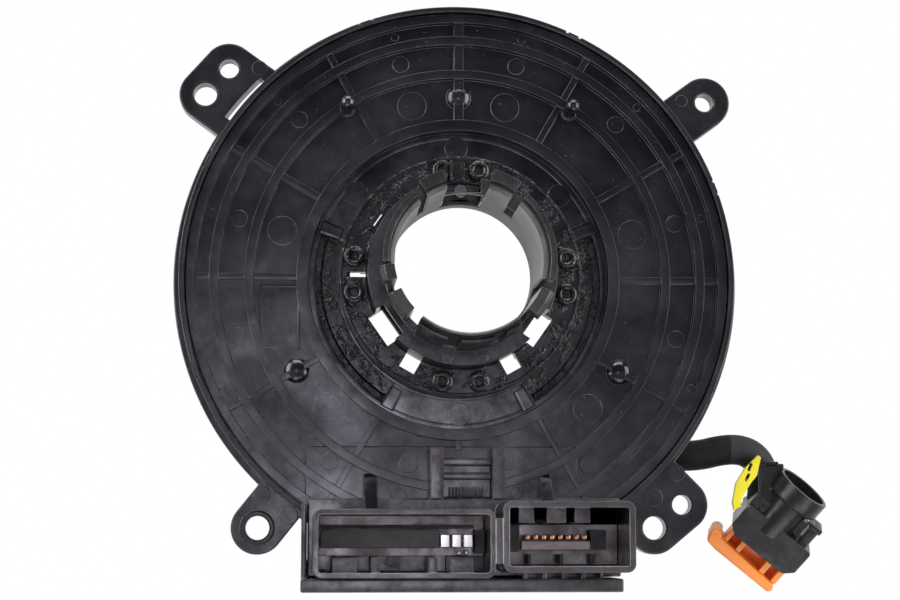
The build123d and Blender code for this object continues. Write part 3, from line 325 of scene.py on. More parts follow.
@dataclass
class PaintShop:
    """Makes the shared node groups, and one material for each finish.

    Args:
        grease_reach: radii between which the grease thins out to nothing, in metres.
        grease_depth: height of its lumps, in millimetres.
        grease_gloss: its roughness.
        wrap_fade: width of the end of a wrap, in metres.
        wrap_tone: colour of a wrap.
    """

    grease_reach: Point = (0.037, 0.043)
    grease_depth: float = 0.34
    grease_gloss: float = 0.07
    wrap_fade: float = 0.3 * MM
    wrap_tone: tuple[float, ...] = (0.006, 0.006, 0.007, 1.0)

    def __post_init__(self) -> None:
        """Builds the groups that all materials share."""
        self.made: dict[str, bpy.types.Material] = {}
        self.gloss = self._gloss_group()
        self.relief = self._relief_group()
        self.rim = self._edge_highlight_group()

    def _gloss_group(self) -> bpy.types.NodeTree:
        """Group for roughness that drifts in patches, and is lower where grease lies near the ring.

        Returns:
            The group.
        """
        group = Group("patchy_gloss", ("Low", "High", "Patch", "Wet"), "Roughness")
        given = group.given
        patches = group.noise(given["Patch"], 4.0, 0.6)
        dry = group.ramp(patches, 0.32, 0.68, given["Low"], given["High"])
        share = group.math("MULTIPLY", self._grease(group), given["Wet"])
        group.feed(group.result, group.ramp(share, 0.0, 1.0, dry, self.grease_gloss))
        return group.tree

    def _grease(self, group: Group) -> Socket:
        """Mask of grease streaks between the sleeve and the middle ridge.

        Args:
            group: group to add to.

        Returns:
            Socket that is 1 in the streaks.
        """
        split = group.node("SeparateXYZ", {0: group.place}).outputs
        flat = group.node("CombineXYZ", {"X": split["X"], "Y": split["Z"]}).outputs[0]
        reach = group.node("VectorMath", {0: flat}, operation="LENGTH").outputs["Value"]
        thick, thin = self.grease_reach
        near = group.ramp(reach, thin, thick, smooth=True)
        streaks = group.ramp(group.noise(260.0, 4.0, 0.7), 0.48, 0.66, smooth=True)
        return group.math("MULTIPLY", near, streaks)

    def _relief_group(self) -> bpy.types.NodeTree:
        """Group for a normal with rounded edges, moulding grain, a slow swell and lumps of grease.

        Returns:
            The group.
        """
        group = Group("moulded_relief", ("Grain", "Fineness", "Swell", "Wet", "Edge"), "Normal", "Vector")
        given = group.given
        lumps = group.math("MULTIPLY", self._grease(group), group.noise(1300.0, 3.0, 0.6))
        layers = (
            (group.noise(given["Fineness"], 2.0), given["Grain"]),
            (group.noise(55.0, 2.0), given["Swell"]),
            (lumps, group.math("MULTIPLY", given["Wet"], self.grease_depth)))
        normal = group.rounded(4)
        for height, millimetres in layers:
            distance = group.math("MULTIPLY", millimetres, MM)
            bump = group.node("Bump", {"Distance": distance, "Height": height, "Normal": normal})
            normal = bump.outputs["Normal"]
        group.feed(group.result, normal)
        return group.tree

    def _edge_highlight_group(self) -> bpy.types.NodeTree:
        """Group for a mask of painted highlights along hard edges, broken up in patches, with a few stray
        light specks.

        Returns:
            The group.
        """
        group = Group("painted_edge_highlights", ("Edge", "Highlight"), "Mask")
        flat = group.node("NewGeometry").outputs["True Normal"]
        across = group.node("VectorMath", {0: group.rounded(6), 1: flat}, operation="DOT_PRODUCT")
        # painted highlight: mask of hard edges where the lamps would catch them, broken up in patches
        turned = group.ramp(across.outputs["Value"], 0.985, 0.86)
        broken = group.ramp(group.noise(110.0, 4.0, 0.6), 0.36, 0.62, low=0.15)
        specks = group.ramp(group.noise(1300.0, 2.0, 0.8), 0.70, 0.80, high=0.5)
        lit_edges = group.math("MAXIMUM", group.math("MULTIPLY", turned, broken), specks)
        group.feed(group.result, group.math("MULTIPLY", lit_edges, group.given["Highlight"]))
        return group.tree

    def _wrapped(self, wiring: Wiring, colour: Socket, end: float) -> Socket:
        """Turns a colour darker up to a plane across X.

        Args:
            wiring: wiring of the material.
            colour: the colour beyond the plane.
            end: X of the plane, in metres.

        Returns:
            The socket of the new colour.
        """
        across = wiring.node("SeparateXYZ", {0: wiring.place}).outputs["X"]
        share = wiring.ramp(across, end, end + self.wrap_fade, 1.0, 0.0)
        return wiring.blend(share, colour, self.wrap_tone)

    def _colour(self, wiring: Wiring, finish: Finish) -> Socket:
        """Colour that drifts in patches, with painted highlights on hard edges and a wrap where the finish
        has them.

        Args:
            wiring: wiring of the material.
            finish: the finish.

        Returns:
            The socket of the colour.
        """
        drift = wiring.node("ValToRGB", {"Fac": wiring.noise(finish.patch * 0.6, 4.0)})
        for stop, position, scale in zip(drift.color_ramp.elements, (0.30, 0.70), (0.86, 1.10)):
            stop.position = position
            stop.color = finish.tone(scale)
        # painted highlight: hard edges are mixed towards a lighter tone instead of catching lamp light
        rim = wiring.node("Group", {"Edge": finish.edge * MM, "Highlight": finish.edge_highlight}, node_tree=self.rim)
        colour = wiring.blend(rim.outputs["Mask"], drift.outputs["Color"], finish.tone(0.7, lift=0.26))
        if finish.wrap is not None:
            colour = self._wrapped(wiring, colour, finish.wrap * MM)
        return colour

    def _make(self, finish: Finish) -> bpy.types.Material:
        """Makes the material of a finish.

        Args:
            finish: the finish.

        Returns:
            The material.
        """
        material = bpy.data.materials.new(finish.name)
        material.use_nodes = True
        wiring = Wiring(material.node_tree)
        patches = wiring.noise(finish.patch * 1.7, 6.0, 0.75)
        dull, bright = finish.shine * (1 - finish.uneven), finish.shine * (1 + finish.uneven)
        gloss = {"Low": finish.low, "High": finish.high, "Patch": finish.patch, "Wet": finish.wet}
        relief = {"Grain": finish.grain, "Fineness": finish.grain_scale, "Swell": finish.swell,
                  "Wet": finish.wet, "Edge": finish.edge * MM}
        shader = material.node_tree.nodes["Principled BSDF"].inputs
        for label, value in (
                ("Base Color", self._colour(wiring, finish)),
                ("Metallic", finish.metallic),
                ("Roughness", wiring.node("Group", gloss, node_tree=self.gloss).outputs[0]),
                ("Specular IOR Level", wiring.ramp(patches, 0.40, 0.62, dull, bright)),
                ("Normal", wiring.node("Group", relief, node_tree=self.relief).outputs[0])):
            wiring.feed(shader[label], value)
        return material

    def material(self, finish: Finish) -> bpy.types.Material:
        """Gives the material of a finish, and makes it the first time.

        Args:
            finish: the finish.

        Returns:
            The material.
        """
        if finish.name not in self.made:
            self.made[finish.name] = self._make(finish)
        return self.made[finish.name]


SHOP = PaintShop()


# ------------------------------------------------------------------------------ shaping
class Stock:
    """A piece being shaped, in plan millimetres, from solids that run into each other."""

    def __init__(self) -> None:
        """Starts with nothing."""
        self.mesh = bmesh.new()

    def _pour(self, part: bmesh.types.BMesh) -> None:
        """Takes over the faces of another mesh.

        Args:
            part: the mesh, which is used up.
        """
        spare = bpy.data.meshes.new("spare")
        part.to_mesh(spare)
        part.free()
        self.mesh.from_mesh(spare)
        bpy.data.meshes.remove(spare)

    def add(self, part: bmesh.types.BMesh, round_off: float) -> None:
        """Rounds the hard edges of a solid and joins it on.

        Args:
            part: the solid, which is used up.
            round_off: width of the rounding.
        """
        if round_off > 0:
            hard = [edge for edge in part.edges
                    if len(edge.link_faces) == 2 and edge.calc_face_angle(0.0) > SHARP_ANGLE]
            bmesh.ops.bevel(part, geom=hard, offset=round_off, offset_type="OFFSET", segments=ROUND_STEPS,
                            profile=0.5, affect="EDGES", clamp_overlap=True, material=-1)
        bmesh.ops.recalc_face_normals(part, faces=part.faces)
        self._pour(part)

    def join(self, other: "Stock", push: Triple = (0.0, 0.0, 0.0)) -> None:
        """Takes over another stock's solids, moved by push."""
        bmesh.ops.translate(other.mesh, vec=push, verts=other.mesh.verts)
        self._pour(other.mesh)

    def block(self, left: float, right: float, bottom: float, top: float, low: float, high: float,
              round_off: float = 0.2, turn: float = 0.0) -> None:
        """Adds a box.

        Args:
            left, right: its limits in X.
            bottom, top: its limits in Y.
            low, high: its levels.
            round_off: width of the rounding of its edges.
            turn: angle about the axis by which it is turned, in degrees.
        """
        part = bmesh.new()
        bmesh.ops.create_cube(part, size=1.0)
        bmesh.ops.scale(part, vec=(right - left, top - bottom, high - low), verts=part.verts)
        centre = Vector(((left + right) / 2, (bottom + top) / 2, (low + high) / 2))
        bmesh.ops.translate(part, vec=centre, verts=part.verts)
        if turn:
            bmesh.ops.rotate(part, cent=(0, 0, 0), matrix=about_axis(turn), verts=part.verts)
        self.add(part, round_off)

    def blocks(self, boxes: Iterable[Box]) -> None:
        """Adds a few boxes."""
        for box in boxes:
            self.block(*box)

    def row(self, box: Box, pitch: float, count: int) -> None:
        """Adds copies of a box side by side.

        Args:
            box: the first one.
            pitch: step from one to the next in X.
            count: how many there are.
        """
        for i in range(count):
            self.block(*box._replace(left=box.left + pitch * i, right=box.right + pitch * i))

    def rod(self, x: float, y: float, radius: float, low: float, high: float, round_off: float = 0.2,
            tip: float | None = None, segments: int = 40) -> None:
        """Adds a round post.

        Args:
            x, y: its centre.
            radius: its radius.
            low, high: its levels.
            round_off: width of the rounding of its ends.
            tip: radius at the high end, if it is another.
            segments: sides of the circle.
        """
        part = bmesh.new()
        bmesh.ops.create_cone(part, cap_ends=True, segments=segments, radius1=radius,
                              radius2=radius if tip is None else tip, depth=high - low)
        bmesh.ops.translate(part, vec=(x, y, (low + high) / 2), verts=part.verts)
        self.add(part, round_off)

    def marks(self, circles: Iterable[Triple], level: float, height: float, round_off: float,
              root: float = 0.2, segments: int = 48) -> None:
        """Adds ejector marks, which are shallow round steps.

        Args:
            circles: their centres and radii.
            level: level of the face that they stand on.
            height: how far they stand out.
            round_off: width of the rounding of their edges.
            root: how deep they start below the face.
            segments: sides of each circle.
        """
        for x, y, radius in circles:
            self.rod(x, y, radius, level - root, level + height, round_off, segments=segments)

    def dome(self, x: float, y: float, radius: float, level: float, height: float) -> None:
        """Adds a low dome.

        Args:
            x, y: its centre.
            radius: its radius.
            level: level that it stands on.
            height: its height.
        """
        part = bmesh.new()
        bmesh.ops.create_uvsphere(part, u_segments=36, v_segments=18, radius=1.0)
        bmesh.ops.scale(part, vec=(radius, radius, height), verts=part.verts)
        bmesh.ops.translate(part, vec=(x, y, level), verts=part.verts)
        self.add(part, 0.0)

    def lathe(self, profile: list[Point], round_off: float = 0.2, start: float = 0.0,
              sweep: float = 360.0) -> None:
        """Spins a closed profile about the axis.

        Args:
            profile: corners as radius and level.
            round_off: width of the rounding of its corners.
            start: first angle in degrees.
            sweep: angle in degrees, 360 for a full turn.
        """
        part = bmesh.new()
        corners = [part.verts.new((radius, 0.0, level)) for radius, level in profile]
        edges = [part.edges.new(pair) for pair in zip(corners, corners[1:] + corners[:1])]
        full = sweep >= 360.0
        turns = max(3, round(RING_STEPS * sweep / 360.0))
        if not full:
            part.faces.new(corners)
            bmesh.ops.rotate(part, cent=(0, 0, 0), matrix=about_axis(start), verts=part.verts)
        bmesh.ops.spin(part, geom=corners + edges + list(part.faces), cent=(0, 0, 0), axis=(0, 0, 1),
                       angle=math.radians(sweep), steps=turns, use_merge=full, use_duplicate=False)
        if not full:
            bmesh.ops.holes_fill(part, edges=[edge for edge in part.edges if edge.is_boundary])
        self.add(part, round_off)

    def ring(self, inner: float, outer: float, low: float, high: float, round_off: float = 0.2) -> None:
        """Adds a full ring of rectangular section between two radii and two levels."""
        self.lathe(section(inner, outer, low, high), round_off)

    def sector(self, inner: float, outer: float, start: float, end: float, low: float, high: float,
               round_off: float = 0.2) -> None:
        """Adds a part of such a ring, between two angles in degrees."""
        self.lathe(section(inner, outer, low, high), round_off, start, end - start)

    def hull(self, circles: Iterable[Triple], low: float, high: float, round_off: float = 0.3) -> None:
        """Adds a plate with the outline of a band drawn tight round circles.

        Args:
            circles: the circles, as x, y and radius.
            low, high: levels of its faces.
            round_off: width of the rounding of its edges.
        """
        part = bmesh.new()
        for x, y, radius in circles:
            for level in (low, high):
                made = bmesh.ops.create_circle(part, cap_ends=False, segments=64, radius=radius)
                bmesh.ops.translate(part, vec=(x, y, level), verts=made["verts"])
        made = bmesh.ops.convex_hull(part, input=part.verts)
        inside = {g for g in made["geom_interior"] + made["geom_unused"] if isinstance(g, bmesh.types.BMVert)}
        bmesh.ops.delete(part, geom=list(inside), context="VERTS")
        bmesh.ops.dissolve_limit(part, angle_limit=FLAT_ANGLE, verts=part.verts, edges=part.edges)
        self.add(part, round_off)

    def wedge(self, points: Iterable[Triple], push: Triple, round_off: float = 0.2) -> None:
        """Adds a flat face that is pushed out to a solid.

        Args:
            points: corners of the face.
            push: the way that it is pushed.
            round_off: width of the rounding of its edges.
        """
        part = bmesh.new()
        face = part.faces.new([part.verts.new(point) for point in points])
        made = bmesh.ops.extrude_face_region(part, geom=[face], use_keep_orig=True)
        moved = [g for g in made["geom"] if isinstance(g, bmesh.types.BMVert)]
        bmesh.ops.translate(part, vec=push, verts=moved)
        self.add(part, round_off)

    def cut(self, cutter: "Stock") -> None:
        """Takes solids out of this piece.

        Args:
            cutter: the solids, which are used up.
        """
        objects = []
        for stock in (self, cutter):
            mesh = bpy.data.meshes.new("spare")
            stock.mesh.to_mesh(mesh)
            objects.append(bpy.data.objects.new("spare", mesh))
            bpy.context.scene.collection.objects.link(objects[-1])
        blank, tool = objects
        modifier = blank.modifiers.new("cut", "BOOLEAN")
        modifier.object = tool
        modifier.operation = "DIFFERENCE"
        modifier.solver = "EXACT"
        modifier.use_self = True
        bpy.context.view_layer.update()
        result = bpy.data.meshes.new_from_object(blank.evaluated_get(bpy.context.evaluated_depsgraph_get()))
        self.mesh.clear()
        self.mesh.from_mesh(result)
        cutter.mesh.free()
        for used in objects:
            mesh = used.data
            bpy.data.objects.remove(used)
            bpy.data.meshes.remove(mesh)
        bpy.data.meshes.remove(result)

    def place(self, name: str, finish: Finish, body: Body, replaces: str | None = None,
              to_row: Matrix = PLAN_TO_ROW) -> bpy.types.Object:
        """Turns the shaped piece into an object of the scene.

        Args:
            name: object name.
            finish: its finish.
            body: the body it moves with.
            replaces: CAD node that it stands for.
            to_row: matrix from plan millimetres to the row frame.

        Returns:
            The object.
        """
        bmesh.ops.transform(self.mesh, matrix=to_row, verts=self.mesh.verts)
        mesh = bpy.data.meshes.new(name)
        self.mesh.to_mesh(mesh)
        self.mesh.free()
        mesh.shade_smooth()
        mesh.set_sharp_from_angle(angle=SHARP_ANGLE)
        piece = bpy.data.objects.new(name, mesh)
        bpy.context.scene.collection.objects.link(piece)
        dress(piece, finish)
        level_faces = piece.modifiers.new("level_faces", "WEIGHTED_NORMAL")
        level_faces.keep_sharp = True
        level_faces.weight = FACE_WEIGHT
        if replaces:
            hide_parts(replaces)
        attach(piece, body.value)
        LOG.info("%s: %d faces", name, len(mesh.polygons))
        return piece


def dress(piece: bpy.types.Object, finish: Finish) -> None:
    """Gives a piece one material."""
    piece.data.materials.clear()
    piece.data.materials.append(SHOP.material(finish))


# ------------------------------------------------------------------------------ the case
class Ear(NamedTuple):
    """A mounting ear: its holes, as x, y and radius, and the circle of a wider foot if it has one."""

    holes: tuple[Triple, ...]
    foot: tuple[Triple, ...] = ()


@dataclass(frozen=True)
class CaseShell:
    """Flange, wall and mounting ears of the fixed case, with its face at level 0.

    Args:
        inner, wall, flange: radius of the bore, of the wall and of the flange.
        thickness: depth of the flange and the ears.
        front, back: levels of the ends of the wall.
        ear: radius of an ear round its hole.
        lower_left: hole with a collar, as x, y and radius.
        collar: width of that collar.
        ears: the four ears.
        lead_in: width of the chamfer of the ears' holes.
        slot: middle angle, half angle and width of the crescent slot.
        snaps: angles of the snaps.
        notch, catch: opening in the wall at each snap, and the catch in it.
        lip: radii and levels of the closing lip.
        marks: ejector marks on the ears.
    """

    inner: float = 71.5
    wall: float = 73.0
    flange: float = 74.8
    thickness: float = 5.5
    front: float = 7.0
    back: float = -9.0
    ear: float = 6.9
    lower_left: Triple = (-52.0, -65.0, 3.1)
    collar: float = 1.4
    ears: tuple[Ear, ...] = (
        Ear(((-67.3, 49.7, 3.1), (-61.1, 56.8, 2.6)), ((-50.0, 49.5, 6.4),)),
        Ear(((67.3, 49.7, 2.5),)),
        Ear((lower_left,)),
        Ear(((52.0, -65.0, 3.1), (59.4, -58.9, 2.6))))
    lead_in: float = 0.66
    slot: Triple = (139.5, 5.4, 2.8)
    snaps: tuple[float, ...] = (20.0, 65.0, 110.0, 155.0, 200.0, 335.0)
    notch: Box = Box(72.3, 74.0, -2.2, 2.2, 5.4, 8.0, 0.0)
    catch: Box = Box(72.0, 73.1, -1.5, 1.5, 5.2, 6.6, 0.25)
    lip: tuple[float, float, float, float] = (70.3, 71.6, 1.1, 2.1)
    marks: tuple[Triple, ...] = (
        (-50.9, -56.3, 2.1), (-44.0, -61.7, 2.4), (-53.0, 57.0, 2.0), (-55.0, 44.0, 2.0),
        (61.0, 50.0, 1.6), (58.0, 45.0, 1.6), (51.8, -57.0, 2.4), (58.1, -50.5, 2.2))

    def build(self) -> None:
        """Shapes the case ring and places it."""
        shell, holes = Stock(), Stock()
        shell.ring(self.inner, self.flange, 0, -self.thickness, 0.5)
        shell.ring(self.inner, self.wall, self.front, self.back, 0.3)
        for ear in self.ears:
            self._ear(shell, holes, ear)
        middle, half, width = self.slot
        holes.rod(0, 0, self.inner - 0.05, -self.thickness - 1, 1.0, 0.0, segments=240)
        holes.sector(self.wall, self.wall + width, middle - half, middle + half, -self.thickness - 0.5, 1, 0)
        holes.blocks(self.notch._replace(turn=angle) for angle in self.snaps)
        shell.cut(holes)
        shell.blocks(self.catch._replace(turn=angle) for angle in self.snaps)
        shell.ring(*self.lip, 0.1)
        shell.marks(self.marks, 0.0, 0.14, 0.08, root=0.3, segments=40)
        x, y, radius = self.lower_left
        collar = Stock()
        collar.ring(radius, radius + self.collar, -0.2, 0.3, 0.12)
        shell.join(collar, (x, y, 0.0))
        shell.place("case_shell", CASE, Body.STATOR, "case_ring")

    def _ear(self, shell: Stock, holes: Stock, ear: Ear) -> None:
        """Adds one ear.

        Args:
            shell: the case.
            holes: the cutter that its chamfered holes go into.
            ear: the ear.
        """
        main_x, main_y, _ = ear.holes[0]
        root = (self.wall - self.ear) / math.hypot(main_x, main_y)
        circles = [(x * k, y * k, self.ear) for x, y, _ in ear.holes for k in (1.0, root)]
        shell.hull(circles + list(ear.foot), -self.thickness, 0.0, 0.5)
        back, beyond, depth = -self.thickness, 0.3, 0.35
        for x, y, radius in ear.holes:
            tight, wide = radius + 0.01, radius + self.lead_in
            holes.rod(x, y, radius, back - 1, 1.0, 0.0, segments=64)
            holes.rod(x, y, tight, -depth, beyond, 0.0, tip=wide, segments=64)
            holes.rod(x, y, wide, back - beyond, back + depth, 0.0, tip=tight, segments=64)


# ------------------------------------------------------------------------------ the rear cover
@dataclass(frozen=True)
class RearCover:
    """Ribbed disc, inner shelf and the block with both sockets.

    Args:
        under, floor: levels of the disc's two faces.
        radius: radius of the disc.
        ridge, ridges: level of the round ridges, and their radii.
        rib, rib_width, rib_reach: level and width of the straight ribs, and the radii of their ends.
        top_rib_width, low_rib_end: width of the uppermost rib, and outer end of the lowest.
        step: radius at which the shelf starts.
        shelf: level of the shelf.
        inner_band, deck, outer_band: radii of its two round bands and of the deck between them.
        stop: radii of the raised stops beside its windows.
        stop_angle: angle that a stop takes.
        left_window, right_window: angles between which the shelf is open.
        pegs: centres of the two tall pegs.
        peg_foot, peg_stem: radius and level of a peg's foot, and root, tip and level of its stem.
        dome_circle: radius on which the three domes stand.
        mark_circles: ejector marks on circles: radius of the circle, radius of a mark, and angles.
        small_marks, shelf_marks, plate_marks: other ejector marks, on the disc, shelf and plate.
        bare_frame: left, right, bottom and top of the bare frame.
        main, aux: left, right, bottom and top of the two sockets.
        socket_floor, mouth: levels of the sockets' floor and mouth.
        corner: radius of their corners.
        base: solid under both sockets.
        web: wall between them.
        key, key_depth: level of the keys in the sockets, and how far they stand out.
        sill_keys, lintel_keys: left and right of the keys at the bottom of main and the top of aux.
        posts: left and right of the two posts behind the sockets.
        latch, latch_gap: latch under the aux socket, and the first of its four gaps.
        plate, plate_block: level and limits of the raised plate.
        gussets: left and right of the two gussets.
    """

    under: float = 2.4
    floor: float = 4.0
    radius: float = 71.2
    ridge: float = 6.0
    ridges: tuple[Point, ...] = ((68.8, 71.2), (62.8, 65.2), (53.6, 56.0), (39.5, 42.5))
    rib: float = 5.5
    rib_width: float = 1.7
    rib_reach: Point = (41.0, 70.0)
    top_rib_width: float = 2.5
    low_rib_end: float = 45.0
    step: float = 39.5
    shelf: float = 2.0
    inner_band: Point = (30.3, 32.0)
    deck: Point = (31.8, 38.0)
    outer_band: Point = (37.8, 39.7)
    stop: Point = (33.0, 38.8)
    stop_angle: float = 6.0
    left_window: Point = (162.0, 238.0)
    right_window: Point = (-58.0, 19.0)
    pegs: tuple[Point, ...] = ((-29.6, 45.2), (29.6, 45.2))
    peg_foot: Point = (2.6, 5.2)
    peg_stem: Triple = (1.9, 1.8, 12.2)
    dome_circle: float = 48.8
    mark_circles: tuple[tuple[float, float, tuple[int, ...]], ...] = (
        (48.0, 3.8, (15, 75, 105, 165, 225, 315)),
        (59.7, 2.2, (15, 45, 75, 105, 135, 165, 195, 345)))
    small_marks: tuple[Triple, ...] = (
        (17, 65, 1.0), (-17, 65, 1.0), (48, 47, 1.0), (-48, 47, 1.0), (-65, -17, 1.0),
        (61.5, -28.5, 1.0), (65, 17, 1.0), (-65, 17, 1.0), (-61.5, -28.5, 1.0))
    shelf_marks: tuple[Triple, ...] = ((-0.5, 35.5, 3.0), (-27, 23, 3.0), (27, 23, 3.0), (0.5, -35.5, 3.0))
    plate_marks: tuple[Triple, ...] = (
        (-33.5, -48, 2.2), (-13, -48.5, 2.4), (-15.5, -57, 2.0), (13, -48, 2.0), (34, -48.5, 2.4),
        (15, -56.0, 1.5))
    bare_frame: tuple[float, float, float, float] = (-52.0, -41.5, -19.0, -2.0)
    main: tuple[float, float, float, float] = (-37.5, 7.0, -77.3, -60.5)
    aux: tuple[float, float, float, float] = (8.8, 41.5, -76.0, -58.5)
    socket_floor: float = 12.0
    mouth: float = 32.0
    corner: float = 2.2
    base: Box = Box(-39.0, 41.0, -77.4, -57.5, under + 0.1, socket_floor, 0.5)
    web: Box = Box(6.6, 9.2, -73.8, -62.7, socket_floor - 1, mouth - 0.3, 0.3)
    key: float = 27.0
    key_depth: float = 3.9
    sill_keys: tuple[Point, ...] = ((-33.0, -26.5), (-23.3, -21.0), (-9.2, -7.0), (-4.0, 2.3))
    lintel_keys: tuple[Point, ...] = ((13.0, 17.0), (20.0, 25.0), (27.0, 31.0))
    posts: tuple[Point, ...] = ((-7.9, -4.5), (8.0, 11.4))
    latch: Box = Box(14.0, 34.0, -79.6, -75.9, socket_floor + 1, key, 0.3)
    latch_gap: Box = Box(15.2, 19.0, -77.4, -76.1, 18.0, 30.0, 0.0)
    plate: float = 4.9
    plate_block: Box = Box(-39.8, 31.0, -57.8, -44.0, floor - 0.2, plate, 0.35)
    gussets: tuple[Point, ...] = ((-24.8, -21.2), (20.8, 23.8))

    def build(self) -> None:
        """Shapes the disc, the shelf, the block and the plate."""
        self._disc().place("cover_disc", COVER, Body.STATOR, "rear_cover")
        self._shelf().place("cover_shelf", INNER, Body.STATOR)
        self._block().place("socket_block", BLOCK, Body.STATOR)
        self._plate().place("cover_plate", COVER, Body.STATOR)

    def _disc(self) -> Stock:
        """Shapes the disc with its ridges, ribs, pegs, domes and ejector marks.

        Returns:
            The disc.
        """
        disc = Stock()
        disc.ring(self.step, self.radius, self.under, self.floor, 0.3)
        sunk = self.floor - 0.2
        for inner, outer in self.ridges:
            disc.ring(inner, outer, sunk, self.ridge, 0.16)
        near, end = self.rib_reach
        for angle in range(0, 360, 30):
            half = (self.top_rib_width if angle == 90 else self.rib_width) / 2
            far = self.low_rib_end if angle == 270 else end
            disc.block(near, far, -half, half, sunk, self.rib, 0.15, turn=angle)
        for circle, radius, angles in self.mark_circles:
            disc.marks([(*polar(circle, angle), radius) for angle in angles], self.floor, 0.12, 0.04)
        disc.marks(self.small_marks, self.floor, 0.12, 0.04)
        foot, foot_top = self.peg_foot
        root, tip, top = self.peg_stem
        for x, y in self.pegs:
            disc.rod(x, y, foot, sunk, foot_top, 0.5)
            disc.rod(x, y, root, sunk, top, 0.0, tip=tip)
            disc.dome(x, y, root + 0.05, top - 0.1, 1.9)
        for angle in (90, 210, 330):
            disc.dome(*polar(self.dome_circle, angle), 3.3, self.floor, 1.9)
        self._bare_frame(disc)
        return disc

    def _bare_frame(self, disc: Stock) -> None:
        """Adds the bare frame beside the left ribs.

        Args:
            disc: the disc.
        """
        left, right, bottom, top = self.bare_frame
        wide, low, high = 0.5, self.floor - 0.1, self.floor + 0.2
        disc.block(left, right, top - wide, top, low, high, 0.08)
        disc.block(left, right, bottom, bottom + wide, low, high, 0.08)
        disc.block(left, left + wide, bottom, top, low, high, 0.08)
        disc.block(right - wide, right, bottom, top, low, high, 0.08)

    def _shelf(self) -> Stock:
        """Shapes the shelf round the turning ring, with its two side windows.

        Returns:
            The shelf.
        """
        shelf = Stock()
        low = self.shelf - 1.5
        shelf.ring(self.step - 0.05, 41.0, low, self.ridge - 0.05, 0.35)
        shelf.ring(*self.inner_band, low, self.shelf, 0.25)
        shelf.ring(*self.outer_band, low, self.shelf, 0.25)
        shelf.sector(*self.deck, self.right_window[1], self.left_window[0], low, self.shelf)
        shelf.sector(*self.deck, self.left_window[1], 360 + self.right_window[0], low, self.shelf)
        for start, end in (self.left_window, self.right_window):
            for first in (start - self.stop_angle, end):
                last = first + self.stop_angle
                shelf.sector(*self.stop, first, last, self.shelf - 0.1, self.shelf + 1.2, 0.3)
        shelf.marks(self.shelf_marks, self.shelf, 0.16, 0.1)
        return shelf

    def _block(self) -> Stock:
        """Shapes the base of the connectors, the two sockets, their keys, the posts and the latch.

        Returns:
            The block.
        """
        block = Stock()
        root = self.socket_floor - 1
        block.block(*self.base)
        self._socket(block, self.main, 1.3)
        self._socket(block, self.aux, 1.6)
        block.block(*self.web)
        sill, lintel = self.main[2] + 1.2, self.aux[3] - 1.5
        for left, right in self.sill_keys:
            block.block(left, right, sill, sill + self.key_depth, root, self.key, 0.4)
        for left, right in self.lintel_keys:
            block.block(left, right, lintel - self.key_depth, lintel, root, self.key, 0.3)
        for left, right in self.posts:
            block.block(left, right, -57.8, -44.5, self.floor, 13.0, 0.35)
        latch, gaps = Stock(), Stock()
        latch.block(*self.latch)
        gaps.row(self.latch_gap, 4.8, 4)
        latch.cut(gaps)
        block.join(latch)
        return block

    def _plate(self) -> Stock:
        """Shapes the raised plate behind the sockets, its ejector marks and the two gussets.

        Returns:
            The plate.
        """
        stock = Stock()
        foot = self.plate - 0.1
        stock.block(*self.plate_block)
        for left, right in self.gussets:
            side = ((left, -51.0, foot), (left, -60.8, foot), (left, -60.8, 18.0))
            stock.wedge(side, (right - left, 0, 0), 0.25)
        stock.marks(self.plate_marks, self.plate, 0.14, 0.05, segments=40)
        return stock

    def _socket(self, block: Stock, outline: tuple[float, float, float, float], wall: float) -> None:
        """Adds one open box with rounded corners.

        Args:
            block: the block that it stands on.
            outline: its left, right, bottom and top.
            wall: thickness of its wall.
        """
        left, right, bottom, top = outline

        def corners(inset: float, radius: float) -> list[Triple]:
            """Circles at the corners of the outline moved in by inset."""
            gap = inset + radius
            return [(x, y, radius) for x in (left + gap, right - gap) for y in (bottom + gap, top - gap)]

        tube, cavity = Stock(), Stock()
        tube.hull(corners(0.0, self.corner), self.socket_floor - 1, self.mouth, 0.3)
        cavity.hull(corners(wall, self.corner - wall), self.socket_floor, self.mouth + 2, 0.0)
        tube.cut(cavity)
        block.join(tube)


